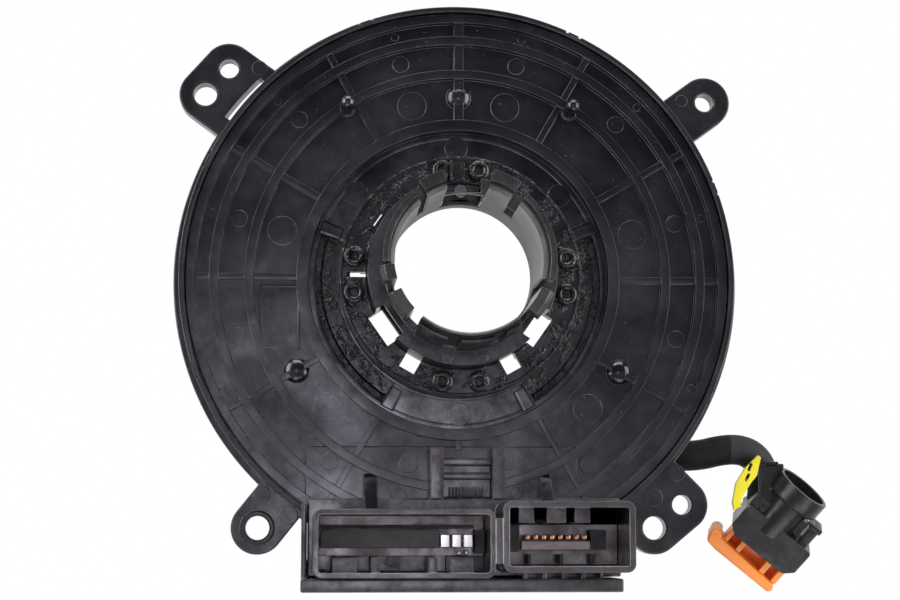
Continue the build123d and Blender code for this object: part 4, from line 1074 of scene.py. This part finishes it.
# ------------------------------------------------------------------------------ connectors
@dataclass(frozen=True)
class Connectors:
    """Box under the sockets, both headers, their contacts and the lead frame.

    Args:
        seat, face: levels of the two sides of the headers' floors.
        foot: level at which whatever stands on a floor starts.
        wide_top, low_top, bar_top: levels of the wide tongue, its lower parts and the light bar.
        shell: the box.
        floors: floors of both sockets and the light bar.
        tongue, sensor: parts of the two headers.
        blade, small_blade, hook, pin: first of each row of contacts or hooks.
        cradle, lead: the cradle and the first of its leads.
        guide: radii and levels of the guide band.
    """

    seat: float = 12.05
    face: float = 13.65
    foot: float = face - 0.2
    wide_top: float = 24.0
    low_top: float = 19.6
    bar_top: float = 20.6
    shell: tuple[Box, ...] = (
        Box(-40.5, 39.0, -80.8, -77.5, -5.0, 28.0, 0.5),
        Box(-40.5, 39.0, -80.8, -73.2, -5.0, -3.6, 0.4),
        Box(-40.5, -39.1, -78.8, -58.8, 3.0, 18.0, 0.4))
    floors: tuple[Box, ...] = (
        Box(-36.1, 5.6, -72.1, -61.9, seat, face, 0.15),
        Box(10.5, 39.8, -74.3, -64.1, seat, face, 0.15),
        Box(14.4, 31.9, -70.6, -68.2, foot, bar_top, 0.3))
    tongue: tuple[Box, ...] = (
        Box(-35.7, -6.3, -70.0, -65.5, foot, wide_top, 0.4),
        Box(-35.7, 2.6, -65.2, -64.3, foot, low_top, 0.15),
        Box(2.9, 5.4, -71.4, -65.5, foot, low_top, 0.2))
    blade: Box = Box(-5.9, -3.5, -69.95, -66.6, face, 21.0, 0.25)
    small_blade: Box = Box(-1.3, -0.5, -71.95, -70.65, face, 18.0, 0.15)
    sensor: tuple[Box, ...] = (
        Box(31.9, 35.8, -70.5, -65.5, foot, bar_top, 0.3),
        Box(10.8, 14.0, -71.0, -64.3, foot, bar_top, 0.3))
    hook: Box = Box(16.0, 16.9, -74.0, -71.6, foot, bar_top)
    pin: Box = Box(15.0, 16.2, -68.0, -66.7, face - 1.0, 24.2, 0.4)
    cradle: tuple[Box, ...] = (
        Box(-4.4, 8.0, -57.3, -49.0, 5.0, 8.0, 0.25),
        Box(-4.4, 8.0, -49.0, -47.2, 5.0, 10.0, 0.25),
        Box(-4.4, 8.0, -52.6, -51.0, 5.0, 10.0, 0.25))
    lead: Box = Box(-2.8, -2.35, -57.1, -54.7, 7.8, 8.8, 0.1)
    guide: tuple[float, float, float, float] = (36.1, 40.9, -1.0, 0.4)

    def build(self) -> None:
        """Shapes each connector piece."""
        box = Stock()
        box.blocks(self.shell)
        box.place("connector_shell", BLOCK, Body.STATOR, "connector_box")
        self._wide_socket()
        self._narrow_socket()
        lead = Stock()
        lead.blocks(self.cradle)
        lead.row(self.lead, 0.9, 10)
        lead.place("lead_cradle", BLOCK, Body.STATOR, "lead_frame")
        guide = Stock()
        guide.ring(*self.guide)
        guide.place("guide_band", GUIDE, Body.STATOR, "guide_ring")

    def _wide_socket(self) -> None:
        """Shapes the floors of both sockets, and the tongue and blades of the wide one."""
        floors, tongue, blades = Stock(), Stock(), Stock()
        floors.blocks(self.floors)
        # painted light: the floors are pale where lamp light is reflected into the sockets
        floors.place("header_floors", LIT_FLOOR, Body.STATOR)
        tongue.blocks(self.tongue)
        tongue.place("tongue_header", HEADER, Body.STATOR, "main_header")
        blades.row(self.blade, 2.9, 3)
        blades.row(self.small_blade, 1.8, 2)
        blades.place("terminal_blades", TIN, Body.STATOR, "main_terminals")

    def _narrow_socket(self) -> None:
        """Shapes the end parts, the hooks and the pins of the narrow socket."""
        sensor, pins = Stock(), Stock()
        sensor.blocks(self.sensor)
        sensor.row(self.hook, 8.0, 3)
        sensor.place("sensor_header", HEADER, Body.STATOR, "aux_header")
        pins.row(self.pin, 2.04, 8)
        pins.place("sensor_pins", COPPER, Body.STATOR, "aux_pins")


# ------------------------------------------------------------------------------ the rotor
class Window(NamedTuple):
    """Opening in the ring: its angle, the radius of its middle, its length outwards and its width."""

    angle: float
    radius: float
    length: float
    width: float


class Finger(NamedTuple):
    """Finger of the sleeve: its two angles, the level of its tip and the radius of its rim."""

    start: float
    end: float
    tip: float
    rim: float


@dataclass(frozen=True)
class Rotor:
    """What turns with the wheel: disc, hub, lock ring, gear and sleeve.

    Args:
        stake_circle, stake_half: radius of the stakes' circle, and half the angle between a pair.
        ring_face: level of the lock ring's face.
        back, front: levels of the wheel-side disc's faces.
        pegs: level of the ends of the drive pegs.
        hub, hub_wall, rim: inner radius of the disc, outer radius of its hub, and its outer radius.
        drum: radii of the drum.
        peg_circle, peg_angles: where the three drive pegs stand.
        rib_angles: angles of the disc's ribs.
        stake_head: section of a stake's head, as radius and level.
        teeth: number of teeth of the gear.
        tooth: one tooth.
        gear_band: radii of the band that the teeth stand on.
        flat: radii and bottom level of the lock ring's flat part.
        skirt: radii and levels of its outer skirt.
        windows: openings in the ring.
        notch, notch_left, notch_right: angle of the window that the drum keeps, and sides of its notch.
        pad, root, face: levels of the screw's pad, of the drum's inner step and of the drum's top.
        drum_cut: radius and level at which the screw's notch starts.
        bore, wall: mean radius of the bore, and radii of the wall at its root.
        fingers: the rimmed fingers.
        shell, shell_ribs: angles and tip of the long shell, and the angles of its ribs.
        hooks: angles of the snap hooks.
        screw: Y of the screw.
        socket, socket_cavity: the socket on the wheel side and its hollow.
        pin_rows: Y of its two rows of pins.
    """

    stake_circle: float = 28.0
    stake_half: float = 9.7
    ring_face: float = 10.95
    back: float = -8.5
    front: float = -6.6
    pegs: float = -15.6
    hub: float = 28.6
    hub_wall: float = 29.9
    rim: float = 70.8
    drum: Point = (41.6, 43.0)
    peg_circle: float = 40.0
    peg_angles: tuple[int, ...] = (30, 150, 270)
    rib_angles: tuple[int, ...] = (0, 30, 60, 120, 150, 180, 210, 240, 270, 300)
    stake_head: tuple[Point, ...] = (
        (1.1, 11.05), (2.4, 11.05), (2.85, 11.5), (2.6, 12.2), (1.7, 12.5), (1.1, 12.0))
    teeth: int = 72
    tooth: Box = Box(34.0, 35.6, -0.72, 0.72, -1.2, 1.6, 0.35)
    gear_band: Point = (30.0, 34.2)
    flat: Triple = (24.4, 31.3, 9.0)
    skirt: tuple[float, float, float, float] = (30.1, 31.4, 9.1, 2.35)
    windows: tuple[Window, ...] = (
        Window(35.0, 23.9, 4.4, 8.8), Window(145.0, 23.9, 4.4, 8.8), Window(215.0, 23.9, 4.4, 8.8),
        Window(325.0, 23.9, 4.4, 8.8), Window(180.0, 27.0, 4.9, 1.3), Window(240.5, 26.3, 4.2, 4.3),
        Window(299.5, 26.3, 4.2, 4.3))
    notch: float = 145.0
    notch_left: float = -5.4
    notch_right: float = 4.6
    pad: float = 10.5
    root: float = 18.4
    face: float = 20.0
    drum_cut: Point = (20.2, 8.95)
    bore: float = 19.2
    wall: Point = (18.3, 20.1)
    fingers: tuple[Finger, ...] = (
        Finger(107.0, 124.0, 42.0, 22.6), Finger(130.0, 183.0, 41.0, 21.3),
        Finger(345.0, 408.0, 42.0, 21.3), Finger(416.0, 435.0, 42.0, 22.6))
    shell: Triple = (231.5, 308.5, 44.0)
    shell_ribs: tuple[Point, ...] = ((233.0, 254.5), (264.0, 288.0), (296.0, 307.5))
    hooks: tuple[Point, ...] = ((186.0, 197.0), (205.0, 223.0), (318.0, 337.0))
    screw: float = 22.0
    socket: Box = Box(-15.0, 15.0, 44.5, 57.5, -20.7, -8.7, 0.5)
    socket_cavity: Box = Box(-13.6, 13.6, 45.9, 56.1, -22.0, -10.7, 0.0)
    pin_rows: Point = (48.7, 53.3)

    def build(self) -> None:
        """Shapes every rotor piece."""
        self._disc()
        self._stake_heads()
        self._gear()
        self._lock_ring()
        self._sleeve()
        self._screw()
        self._header()

    def stakes(self) -> list[Point]:
        """Places of the heat stakes."""
        return [polar(self.stake_circle, base + side * self.stake_half)
                for base in (0, 90, 180, 270) for side in (-1, 1)]

    def _openings(self, low: float, high: float, extra: float = 0.0, skip: float | None = None) -> Stock:
        """Shapes a cutter for the windows that pass through the ring.

        Args:
            low, high: its levels.
            extra: how far it reaches past the windows' sides.
            skip: angle of a window that is left out.

        Returns:
            The cutter.
        """
        cutter = Stock()
        for window in self.windows:
            if window.angle != skip:
                half, side = window.length / 2, window.width / 2
                cutter.block(window.radius - half - extra, window.radius + half + extra, -side - extra,
                             side + extra, low, high, 0.0, turn=window.angle)
        return cutter

    def _disc(self) -> None:
        """Shapes the wheel-side disc with its ribs, pegs, drum and hub, and the heat stakes."""
        disc = Stock()
        rib = self.back - 1.3
        disc.ring(self.hub, self.rim, self.front, self.back - 0.1, 0.3)
        disc.ring(self.hub, 33.4, self.back, -12.2, 0.4)
        disc.ring(self.rim - 3.0, self.rim - 1.2, self.back, rib, 0.25)
        disc.ring(self.hub, self.hub_wall, -7, 8.9)
        disc.ring(*self.drum, -7, 2.0)
        disc.sector(56.0, 57.4, 108, 392, rib, self.back, 0.25)
        for angle in self.rib_angles:
            disc.block(33.0, 57.0, -0.7, 0.7, rib, self.back, 0.25, turn=angle)
        for angle in self.peg_angles:
            disc.rod(*polar(self.peg_circle, angle), 3.0, self.pegs, self.back, 0.5)
        shoulder = Stock()
        shoulder.lathe([(24.4, 4.6), (29.2, 4.6), (29.2, 8.9), (26.2, 8.9), (26.2, 6.6), (24.4, 6.6)], 0.0)
        shoulder.cut(self._openings(3.0, 9.5, 0.6))
        disc.join(shoulder)
        for x, y in self.stakes():
            disc.rod(x, y, 1.4, 6.5, self.ring_face + 0.3, 0.0)
        disc.place("rotor_disc", RING, Body.ROTOR, "rotor_plate")

    def _stake_heads(self) -> None:
        """Shapes the pressed heads of the heat stakes; every third has a taller core."""
        heads = Stock()
        for index, (x, y) in enumerate(self.stakes()):
            head = Stock()
            head.lathe(list(self.stake_head))
            heads.join(head, (x, y, 0.0))
            heads.rod(x, y, 1.0, 11.0, 11.5 if index % 3 else 12.0, 0.1)
        heads.place("stake_heads", RING, Body.ROTOR)

    def _gear(self) -> None:
        """Shapes the toothed ring that shows through the side windows."""
        gear, tooth = Stock(), self.tooth
        gear.ring(*self.gear_band, tooth.low, tooth.high, 0.15)
        gear.blocks(tooth._replace(turn=i * 360.0 / self.teeth) for i in range(self.teeth))
        gear.ring(self.gear_band[0], tooth.right + 0.3, tooth.high - 0.3, tooth.high + 0.3, 0.1)
        gear.place("tooth_ring", GEAR, Body.ROTOR, "sensor_gear")

    def _lock_ring(self) -> None:
        """Shapes the flat ring held by the heat stakes, with its raised edges and outer skirt."""
        ring = Stock()
        ring.ring(*self.flat, self.ring_face, 0.12)
        ring.ring(24.5, 25.1, 10.8, 11.1, 0.05)
        ring.cut(self._openings(8.0, 12.0))
        for first, last in ((-4.6, -1.3), (2.4, 4.6)):
            ring.block(21.7, 26.3, first, last, 9.3, 10.6, 0.1, turn=self.notch)
        ring.ring(*self.skirt)
        ring.ring(30.6, 31.4, 10.8, 11.45)
        for left in (-4.3, -2.9, 0.2):
            ring.block(left, left + 0.7, 24.6, 29.6, self.ring_face - 0.1, 13.2, 0.12)
        ring.place("lock_band", RING, Body.ROTOR, "lock_ring")

    def _sleeve(self) -> None:
        """Shapes the cancelling sleeve: drum, bore, fingers and hooks."""
        sleeve, drum = Stock(), Stock()
        face, root, pad = self.face, self.root, self.pad
        drum.ring(22.9, 24.3, 8.5, face, 0.15)
        drum.ring(20.0, 24.2, root, face, 0.15)
        drum.ring(20.0, 25.9, 6.8, 8.9, 0.15)
        gaps = self._openings(6.0, 22.0, skip=self.notch)
        near, low = self.drum_cut
        gaps.block(self.notch_left, self.notch_right, near, 26.0, low, 22.0, 0.0)
        drum.cut(gaps)
        sleeve.lathe([(19.0, 5.0), (20.1, 5.0), (20.1, pad), (18.8, pad)], 0.1)
        first, sweep = self._bore_arc()
        sleeve.lathe([(18.8, pad), (20.1, pad), (20.1, face), (18.4, face)], 0.0, first, sweep)
        # painted reflection: pale sheet inside the bore
        self._bore_sheen(first, sweep)
        sleeve.join(drum)
        sleeve.block(self.notch_left, self.notch_right, 19.4, 23.4, 8.8, pad, 0.1)
        self._fingers(sleeve)
        for x in (-4.0, 5.0):
            sleeve.rod(x, -22.4, 1.2, face - 0.2, face + 0.25, 0.06)
        sleeve.place("sleeve_shell", SLEEVE, Body.ROTOR, "cancel_sleeve")

    def _bore_arc(self) -> Point:
        """Works out the part of the bore that the screw's notch leaves.

        Returns:
            Its first angle and its sweep, in degrees.
        """
        first = math.degrees(math.acos(self.notch_left / self.bore))
        last = 360 + math.degrees(math.acos(self.notch_right / self.bore))
        return first, last - first

    def _bore_sheen(self, first: float, sweep: float) -> None:
        """Shapes a pale sheet on the inner face of the bore and the fingers, a painted reflection of the
        bright surround on the black wall.

        Args:
            first: first angle of the bore's upper part.
            sweep: its sweep.
        """
        sheen_sheet = Stock()
        low, high = self.pad - 0.1, self.face - 0.1
        sheen_sheet.lathe([(18.8, 5.1), (19.1, 5.1), (18.9, low), (18.6, low)], 0.05)
        sheen_sheet.lathe([(18.6, low), (18.9, low), (18.5, high), (18.2, high)], 0.05, first + 1.5, sweep - 3.0)
        for start, end, tip, _ in self.fingers:
            sheen_sheet.sector(18.2, 18.45, start + 1.0, end - 1.0, self.face - 0.2, tip - 3.2, 0.05)
        sheen_sheet.place("bore_sheen_sheet", BORE_SHEEN, Body.ROTOR)

    def _fingers(self, sleeve: Stock) -> None:
        """Adds the long shell with its ribs, the rimmed fingers and the snap hooks.

        Args:
            sleeve: the sleeve.
        """
        face, root = self.face, self.root
        start, end, tip = self.shell
        sleeve.sector(*self.wall, start, end, root, 22.0, 0.15)
        sleeve.lathe([(18.4, face), (19.9, face), (19.75, tip - 1.2), (19.3, tip), (18.9, tip),
                      (18.4, tip - 1.4)], 0.15, start, end - start)
        for start, end in self.shell_ribs:
            sleeve.sector(19.8, 20.8, start, end, face - 0.1, 41.4)
        for start, end, tip, rim in self.fingers:
            sleeve.sector(*self.wall, start, end, root, 22.0, 0.15)
            sleeve.lathe([(18.4, face), (19.8, face), (19.8, tip - 4.0 - (rim - 19.8)), (rim, tip - 4.0),
                          (rim, tip), (19.8, tip), (18.4, tip - 2.6)], 0.15, start, end - start)
        for start, end in self.hooks:
            sleeve.lathe([(18.6, root), (20.0, root), (20.0, 39.4), (22.2, 39.4), (22.2, 42.8), (21.0, 44.0),
                          (18.6, 44.0)], 0.15, start, end - start)

    def _screw(self) -> None:
        """Shapes the small screw in the notch of the sleeve, with its six-point recess."""
        screw = Stock()
        screw.rod(0.0, self.screw, 1.75, self.pad + 0.05, 11.8, 0.25)
        for turn in (0.0, 60.0, 120.0):
            recess = Stock()
            x, y = polar(0.75, turn)
            recess.hull([(x, self.screw + y, 0.22), (-x, self.screw - y, 0.22)], 11.2, 12.5, 0.0)
            screw.cut(recess)
        screw.place("sleeve_bolt", STEEL, Body.ROTOR, "sleeve_screw")

    def _header(self) -> None:
        """Shapes the socket and the pins on the wheel side."""
        shell, cavity, pins = Stock(), Stock(), Stock()
        shell.block(*self.socket)
        cavity.block(*self.socket_cavity)
        shell.cut(cavity)
        shell.place("wheel_socket", HEADER, Body.ROTOR, "wheel_header")
        for y in self.pin_rows:
            pins.row(Box(-10.4, -9.6, y - 0.4, y + 0.4, -16.7, self.socket_cavity.high, 0.15), 4.0, 6)
        pins.place("wheel_contacts", COPPER, Body.ROTOR, "wheel_pins")


# ------------------------------------------------------------------------------ the airbag lead
@dataclass
class AirbagLead:
    """Taped pigtail with its gland, plug, contacts, leaf clip and sliding lock.

    Args:
        origin: middle of the plug, in millimetres of the row frame.
        slope: fall of the plug's length to the right, in degrees.
        tilt: lean of its barrel towards the column, in degrees.
        barrel: place of the barrel along the plug.
        radius: radius of the taped cable.
        route: points of the cable, in millimetres of the row frame.
        half_width, outline: half the width of the plug's body, and its corners along and across it.
        pocket: hollow of the body.
        bosses: raised parts of the body.
        lip: plates of the lip beside the cable, in the plan.
        spine, blade: corners of the two layers of the leaf clip, in the plan.
        slots: ends of the leaf's two slots, in the plan.
        ladder, rungs: inner part of the lock, and left and right of its openings.
    """

    origin: Triple = (87.8, 17.0, -66.8)
    slope: float = 39.0
    tilt: float = 22.0
    barrel: float = -2.4
    radius: float = 4.1
    route: tuple[Triple, ...] = (
        (46.5, 14.6, -41.8), (56.5, 15.0, -45.0), (66.0, 15.6, -45.6), (75.0, 16.0, -43.4),
        (80.9, 16.4, -43.9), (84.9, 17.2, -47.4), (85.9, 18.2, -52.6), (85.3, 19.0, -57.2))
    half_width: float = 5.5
    outline: tuple[Point, ...] = (
        (-11.3, -3.6), (-8.7, -5.6), (7.8, -5.6), (10.2, -3.2), (10.2, 3.2), (9.6, 3.8), (-10.3, 3.8),
        (-11.3, 2.4))
    pocket: Box = Box(-10.2, 9.1, -7.0, -0.4, -3.3, 3.3, 0.0)
    bosses: tuple[Box, ...] = (
        Box(-11.2, -5.2, 3.0, 7.4, -3.0, 4.0, 0.6),
        Box(5.7, 8.3, 3.0, 10.2, -3.5, 3.5, 0.5),
        Box(5.2, 8.8, 8.6, 10.2, -3.9, 3.9, 0.4))
    lip: tuple[Box, ...] = (
        Box(82.8, 89.8, -60.0, -47.6, -12.4, -11.0, 0.4),
        Box(84.2, 88.4, -48.6, -47.0, -12.4, -11.0, 0.4))
    spine: tuple[Point, ...] = (
        (76.8, -59.4), (76.8, -57.6), (77.9, -53.4), (79.2, -51.4), (79.9, -52.0), (78.8, -54.0),
        (77.8, -57.8), (77.8, -59.4))
    blade: tuple[Point, ...] = (
        (82.4, -45.3), (83.2, -46.0), (82.0, -50.9), (80.3, -52.9), (77.9, -56.7), (77.0, -59.4),
        (75.5, -60.3), (75.1, -58.1), (76.1, -53.0), (78.6, -49.0))
    slots: tuple[tuple[Point, Point], ...] = (
        ((80.4, -47.9), (79.8, -49.3)), ((79.7, -50.7), (79.0, -52.0)))
    ladder: Box = Box(-9.9, 8.8, -9.9, -4.2, -3.0, 3.0, 0.35)
    rungs: tuple[Point, ...] = ((-8.6, -5.6), (-4.2, 3.0), (4.6, 7.2))

    def __post_init__(self) -> None:
        """Works out the frames of the plug and of its barrel."""
        slope, tilt = math.radians(self.slope), math.radians(self.tilt)
        along = Vector((math.cos(slope), 0, -math.sin(slope)))
        upright = Vector((math.sin(slope), 0, math.cos(slope)))
        axis = upright * math.cos(tilt) - Vector((0, math.sin(tilt), 0))
        out = along.cross(axis)
        middle = Vector(self.origin)
        self.plug_frame = self._frame(along, axis, out, middle)
        self.barrel_frame = self._frame(along, -out, axis, middle + along * self.barrel)

    @staticmethod
    def _frame(x: Vector, y: Vector, z: Vector, origin: Vector) -> Matrix:
        """Matrix from local millimetres to the row frame."""
        return Matrix.Scale(MM, 4) @ Matrix.Translation(origin) @ Matrix((x, y, z)).transposed().to_4x4()

    def build(self) -> None:
        """Shapes the lead and all that is on it."""
        body = self._plug()
        self._tower()
        self._lip()
        pieces = [body, self._barrel(), self._contacts(), self._clip(), self._lock()]
        self._gland()
        self._cable()

    def _plug(self) -> bpy.types.Object:
        """Shapes the body of the plug.

        Returns:
            The piece.
        """
        body, pocket = Stock(), Stock()
        body.wedge([(x, y, -self.half_width) for x, y in self.outline], (0, 0, 2 * self.half_width), 0.5)
        pocket.block(*self.pocket)
        body.cut(pocket)
        body.blocks(self.bosses)
        return body.place("plug_body", PLUG, Body.ROTOR, "airbag_plug", self.plug_frame)

    def _tower(self) -> None:
        """Shapes the tower of the plug that the cable enters."""
        start = Vector(self.route[-1])
        rise = (Vector(self.route[-2]) - start).normalized()
        side = Vector((0, 1, 0))
        side = (side - rise * side.dot(rise)).normalized()
        tower = Stock()
        tower.block(-4.3, 4.3, -4.3, 4.3, -2.6, 0.0, 0.8)
        tower.place("plug_tower", PLUG, Body.ROTOR, None, self._frame(rise.cross(side), side, rise, start))

    def _lip(self) -> None:
        """Shapes the lip of the plug beside the cable."""
        lip = Stock()
        lip.blocks(self.lip)
        lip.hull([(80.2, -48.5, 0.9), (79.3, -51.5, 0.9)], -13.4, -12.0, 0.1)
        lip.place("plug_lip", PLUG, Body.ROTOR)

    def _barrel(self) -> bpy.types.Object:
        """Shapes the round barrel, its hood and the core inside.

        Returns:
            The piece.
        """
        barrel = Stock()
        barrel.lathe([(0.0, 0.0), (5.9, 0.0), (5.9, 11.4), (4.9, 11.4), (4.9, 6.0), (0.0, 6.0)])
        barrel.lathe([(6.7, 11.5), (5.6, 10.3), (7.2, 10.3), (7.8, 11.0), (7.8, 15.8), (6.7, 15.8)], 0.25)
        barrel.ring(0.0, 3.1, 5.9, 11.2, 0.3)
        barrel.sector(5.2, 7.6, 160, 200, 2.0, 13.5, 0.3)
        barrel.sector(5.2, 7.6, -22, 22, 2.0, 9.0, 0.3)
        return barrel.place("plug_barrel", PLUG, Body.ROTOR, None, self.barrel_frame)

    def _contacts(self) -> bpy.types.Object:
        """Shapes the two bright contacts in the core.

        Returns:
            The piece.
        """
        contacts = Stock()
        for x in (-1.2, 1.2):
            contacts.rod(x, 0, 0.7, 11.1, 12.3, 0.3)
        return contacts.place("plug_contacts", TIN, Body.ROTOR, "airbag_contacts", self.barrel_frame)

    def _clip(self) -> bpy.types.Object:
        """Shapes the yellow leaf beside the cable.

        Returns:
            The piece.
        """
        leaf, blade, slots = Stock(), Stock(), Stock()
        leaf.wedge([(x, y, -10.8) for x, y in self.spine], (0, 0, -6.2))
        blade.wedge([(x, y, -9.7) for x, y in self.blade], (0, 0, -1.3))
        for ends in self.slots:
            slots.hull([(x, y, 0.42) for x, y in ends], -12.0, -9.0, 0.0)
        blade.cut(slots)
        leaf.join(blade)
        return leaf.place("leaf_clip", YELLOW, Body.ROTOR, "airbag_clip")

    def _lock(self) -> bpy.types.Object:
        """Shapes the orange lock that slides into the plug.

        Returns:
            The piece.
        """
        lock, ladder, holes = Stock(), Stock(), Stock()
        lock.hull([(-11.9, -10.5, 1.8), (-9.6, -11.3, 1.3), (7.8, -11.3, 1.3)], -4.2, 4.2, 0.8)
        lock.rod(-12.3, -9.1, 1.7, -4.0, 4.0, 0.6)
        ladder.block(*self.ladder)
        for left, right in self.rungs:
            holes.block(left, right, -11.4, -5.4, -1.8, 6.0, 0.0)
        ladder.cut(holes)
        lock.join(ladder)
        return lock.place("sliding_lock", ORANGE, Body.LOCK, "airbag_lock", self.plug_frame)

    def _gland(self) -> None:
        """Shapes the block that the cable leaves."""
        start = Vector(self.route[0])
        rise = (Vector(self.route[1]) - start).normalized()
        side = Vector((rise.z, 0, -rise.x)).normalized()
        gland = Stock()
        gland.block(-5.5, 5.5, -5.5, 5.5, -12.0, 0.0, 0.9)
        gland.place("cable_gland", RING, Body.ROTOR, "pigtail_gland",
                    self._frame(side, rise.cross(side), rise, start))

    def _cable(self) -> None:
        """Shapes the taped cable along its route.
        """
        curve = bpy.data.curves.new("taped_pigtail", "CURVE")
        curve.dimensions = "3D"
        curve.bevel_depth = self.radius * MM
        curve.bevel_resolution = 10
        curve.resolution_u = 24
        curve.use_fill_caps = True
        spline = curve.splines.new("NURBS")
        spline.points.add(len(self.route) - 1)
        for point, place in zip(spline.points, self.route):
            point.co = (*[value * MM for value in place], 1.0)
        spline.order_u = 3
        spline.use_endpoint_u = True
        cable = bpy.data.objects.new("taped_pigtail", curve)
        bpy.context.scene.collection.objects.link(cable)
        dress(cable, TAPE)
        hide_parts("pigtail")
        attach(cable, Body.ROTOR.value)
        LOG.info("taped_pigtail: %d points", len(self.route))


# ------------------------------------------------------------------------------ light and camera
class Lamp(NamedTuple):
    """A rectangular lamp: its name, place and size in metres, and its power in watts."""

    name: str
    place: Triple
    wide: float
    high: float
    power: float


@dataclass(frozen=True)
class Studio:
    """Camera, lamps and white surround.

    Args:
        place, forward: place of the camera in metres, and the way it looks.
        lens, sensor: its focal length and its sensor's width, in millimetres.
        reach: nearest and farthest distance that it shows, in metres.
        window: direction of the bright window in front of the object.
        window_reach: distances from that direction at which the window ends and is full.
        window_light: its strength.
        lamps: the lamps.
        fill: colour of the even light on dull surfaces.
        fill_light: strength of that light.
        room: colour of the room that glossy surfaces show.
    """

    place: Triple = (-0.03652, -0.47819, -0.06706)
    forward: Triple = (0.0715, 0.9892, 0.1283)
    lens: float = 72.96
    sensor: float = 36.0
    reach: Point = (0.01, 10.0)
    window: Triple = (0.0, 1.0, -0.01)
    window_reach: Point = (0.165, 0.03)
    window_light: float = 5.0
    lamps: tuple[Lamp, ...] = (
        Lamp("lamp_left", (-0.75, -0.42, 0.25), 0.55, 0.9, 10.5),
        Lamp("lamp_right", (0.80, -0.40, 0.10), 0.55, 0.9, 10.0),
        Lamp("lamp_top", (0.05, -0.35, 0.85), 0.9, 0.5, 9.0),
        Lamp("lamp_low", (0.1, -0.55, -0.75), 0.8, 0.4, 3.0))
    fill: tuple[float, ...] = (0.58, 0.58, 0.60, 1.0)
    fill_light: float = 0.85
    room: tuple[float, ...] = (0.72, 0.68, 0.80, 1.0)

    def build(self) -> None:
        """Sets the camera, the lamps and the surround."""
        self._camera()
        for lamp in self.lamps:
            self._lamp(lamp)
        self._surround()

    def _camera(self) -> None:
        """Sets the camera at the viewpoint."""
        data = bpy.data.cameras.new("camera")
        data.lens = self.lens
        data.sensor_width = self.sensor
        data.clip_start, data.clip_end = self.reach
        camera = bpy.data.objects.new("camera", data)
        forward = Vector(self.forward).normalized()
        right = forward.cross(Vector((0, 0, 1))).normalized()
        turn = Matrix((right, right.cross(forward), -forward)).transposed().to_4x4()
        camera.matrix_world = Matrix.Translation(self.place) @ turn
        bpy.context.scene.collection.objects.link(camera)
        bpy.context.scene.camera = camera

    def _lamp(self, lamp: Lamp) -> None:
        """Sets one lamp, aimed at the object.

        Args:
            lamp: the lamp.
        """
        data = bpy.data.lights.new(lamp.name, "AREA")
        data.shape = "RECTANGLE"
        data.size, data.size_y = lamp.wide, lamp.high
        data.energy = lamp.power
        light = bpy.data.objects.new(lamp.name, data)
        light.location = lamp.place
        light.rotation_euler = (-Vector(lamp.place)).to_track_quat("-Z", "Y").to_euler()
        bpy.context.scene.collection.objects.link(light)

    def _surround(self) -> None:
        """Sets the world: white for the eye, an uneven room for gloss and an even fill for the rest.

        Gloss and glass show white behind the object too. In front of it they show the room, which
        gets lighter upwards and has one bright window.
        """
        world = bpy.data.worlds.new("surround")
        bpy.context.scene.world = world
        world.use_nodes = True
        wiring = Wiring(world.node_tree)
        nodes = world.node_tree.nodes
        seen = nodes["Background"]
        seen.inputs["Strength"].default_value = 1.0
        seen.inputs["Color"].default_value = (1, 1, 1, 1)
        ray = wiring.node("LightPath").outputs
        facing = wiring.node("NewGeometry").outputs["Incoming"]
        split = wiring.node("SeparateXYZ", {0: facing}).outputs
        behind = wiring.ramp(split["Y"], 0.1, -0.25, smooth=True)
        height = wiring.ramp(split["Z"], -0.24, 0.02, 0.06, 0.55, smooth=True)
        uneven = wiring.ramp(wiring.noise(9.0, 2.0, place=facing), 0.42, 0.60, 0.6, 1.5)
        reach = wiring.node("VectorMath", {0: facing, 1: self.window}, operation="DISTANCE").outputs["Value"]
        bright = wiring.ramp(reach, *self.window_reach, 0.0, self.window_light, smooth=True)
        level = wiring.math("MULTIPLY", wiring.math("ADD", height, bright), uneven)
        fill = wiring.node("Background", {"Color": self.fill, "Strength": self.fill_light}).outputs[0]
        room = wiring.node("Background", {"Color": self.room, "Strength": level}).outputs[0]
        shiny = wiring.math("MAXIMUM", ray["Is Glossy Ray"], ray["Is Transmission Ray"])
        white = wiring.math("MAXIMUM", ray["Is Camera Ray"], wiring.math("MULTIPLY", shiny, behind))
        final = wiring.either(white, wiring.either(shiny, fill, room), seen.outputs[0])
        wiring.feed(nodes["World Output"].inputs["Surface"], final)


def dress_cad() -> None:
    """Gives the CAD nodes that stay their materials."""
    for node, finish in (("ribbon_cable", FILM), ("outer_clamp", RING), ("inner_clamp", RING),
                         ("rear_slip_ring", SLIP), ("front_slip_ring", SLIP)):
        dress(frame["nodes"][node], finish)
        LOG.info("%s: dressed", node)


def main() -> None:
    logging.basicConfig(level=logging.INFO)
    bpy.context.scene.view_settings.view_transform = "Standard"
    CaseShell().build()
    RearCover().build()
    Connectors().build()
    Rotor().build()
    AirbagLead().build()
    dress_cad()
    Studio().build()
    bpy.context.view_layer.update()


if __name__ == "__main__":
    main()
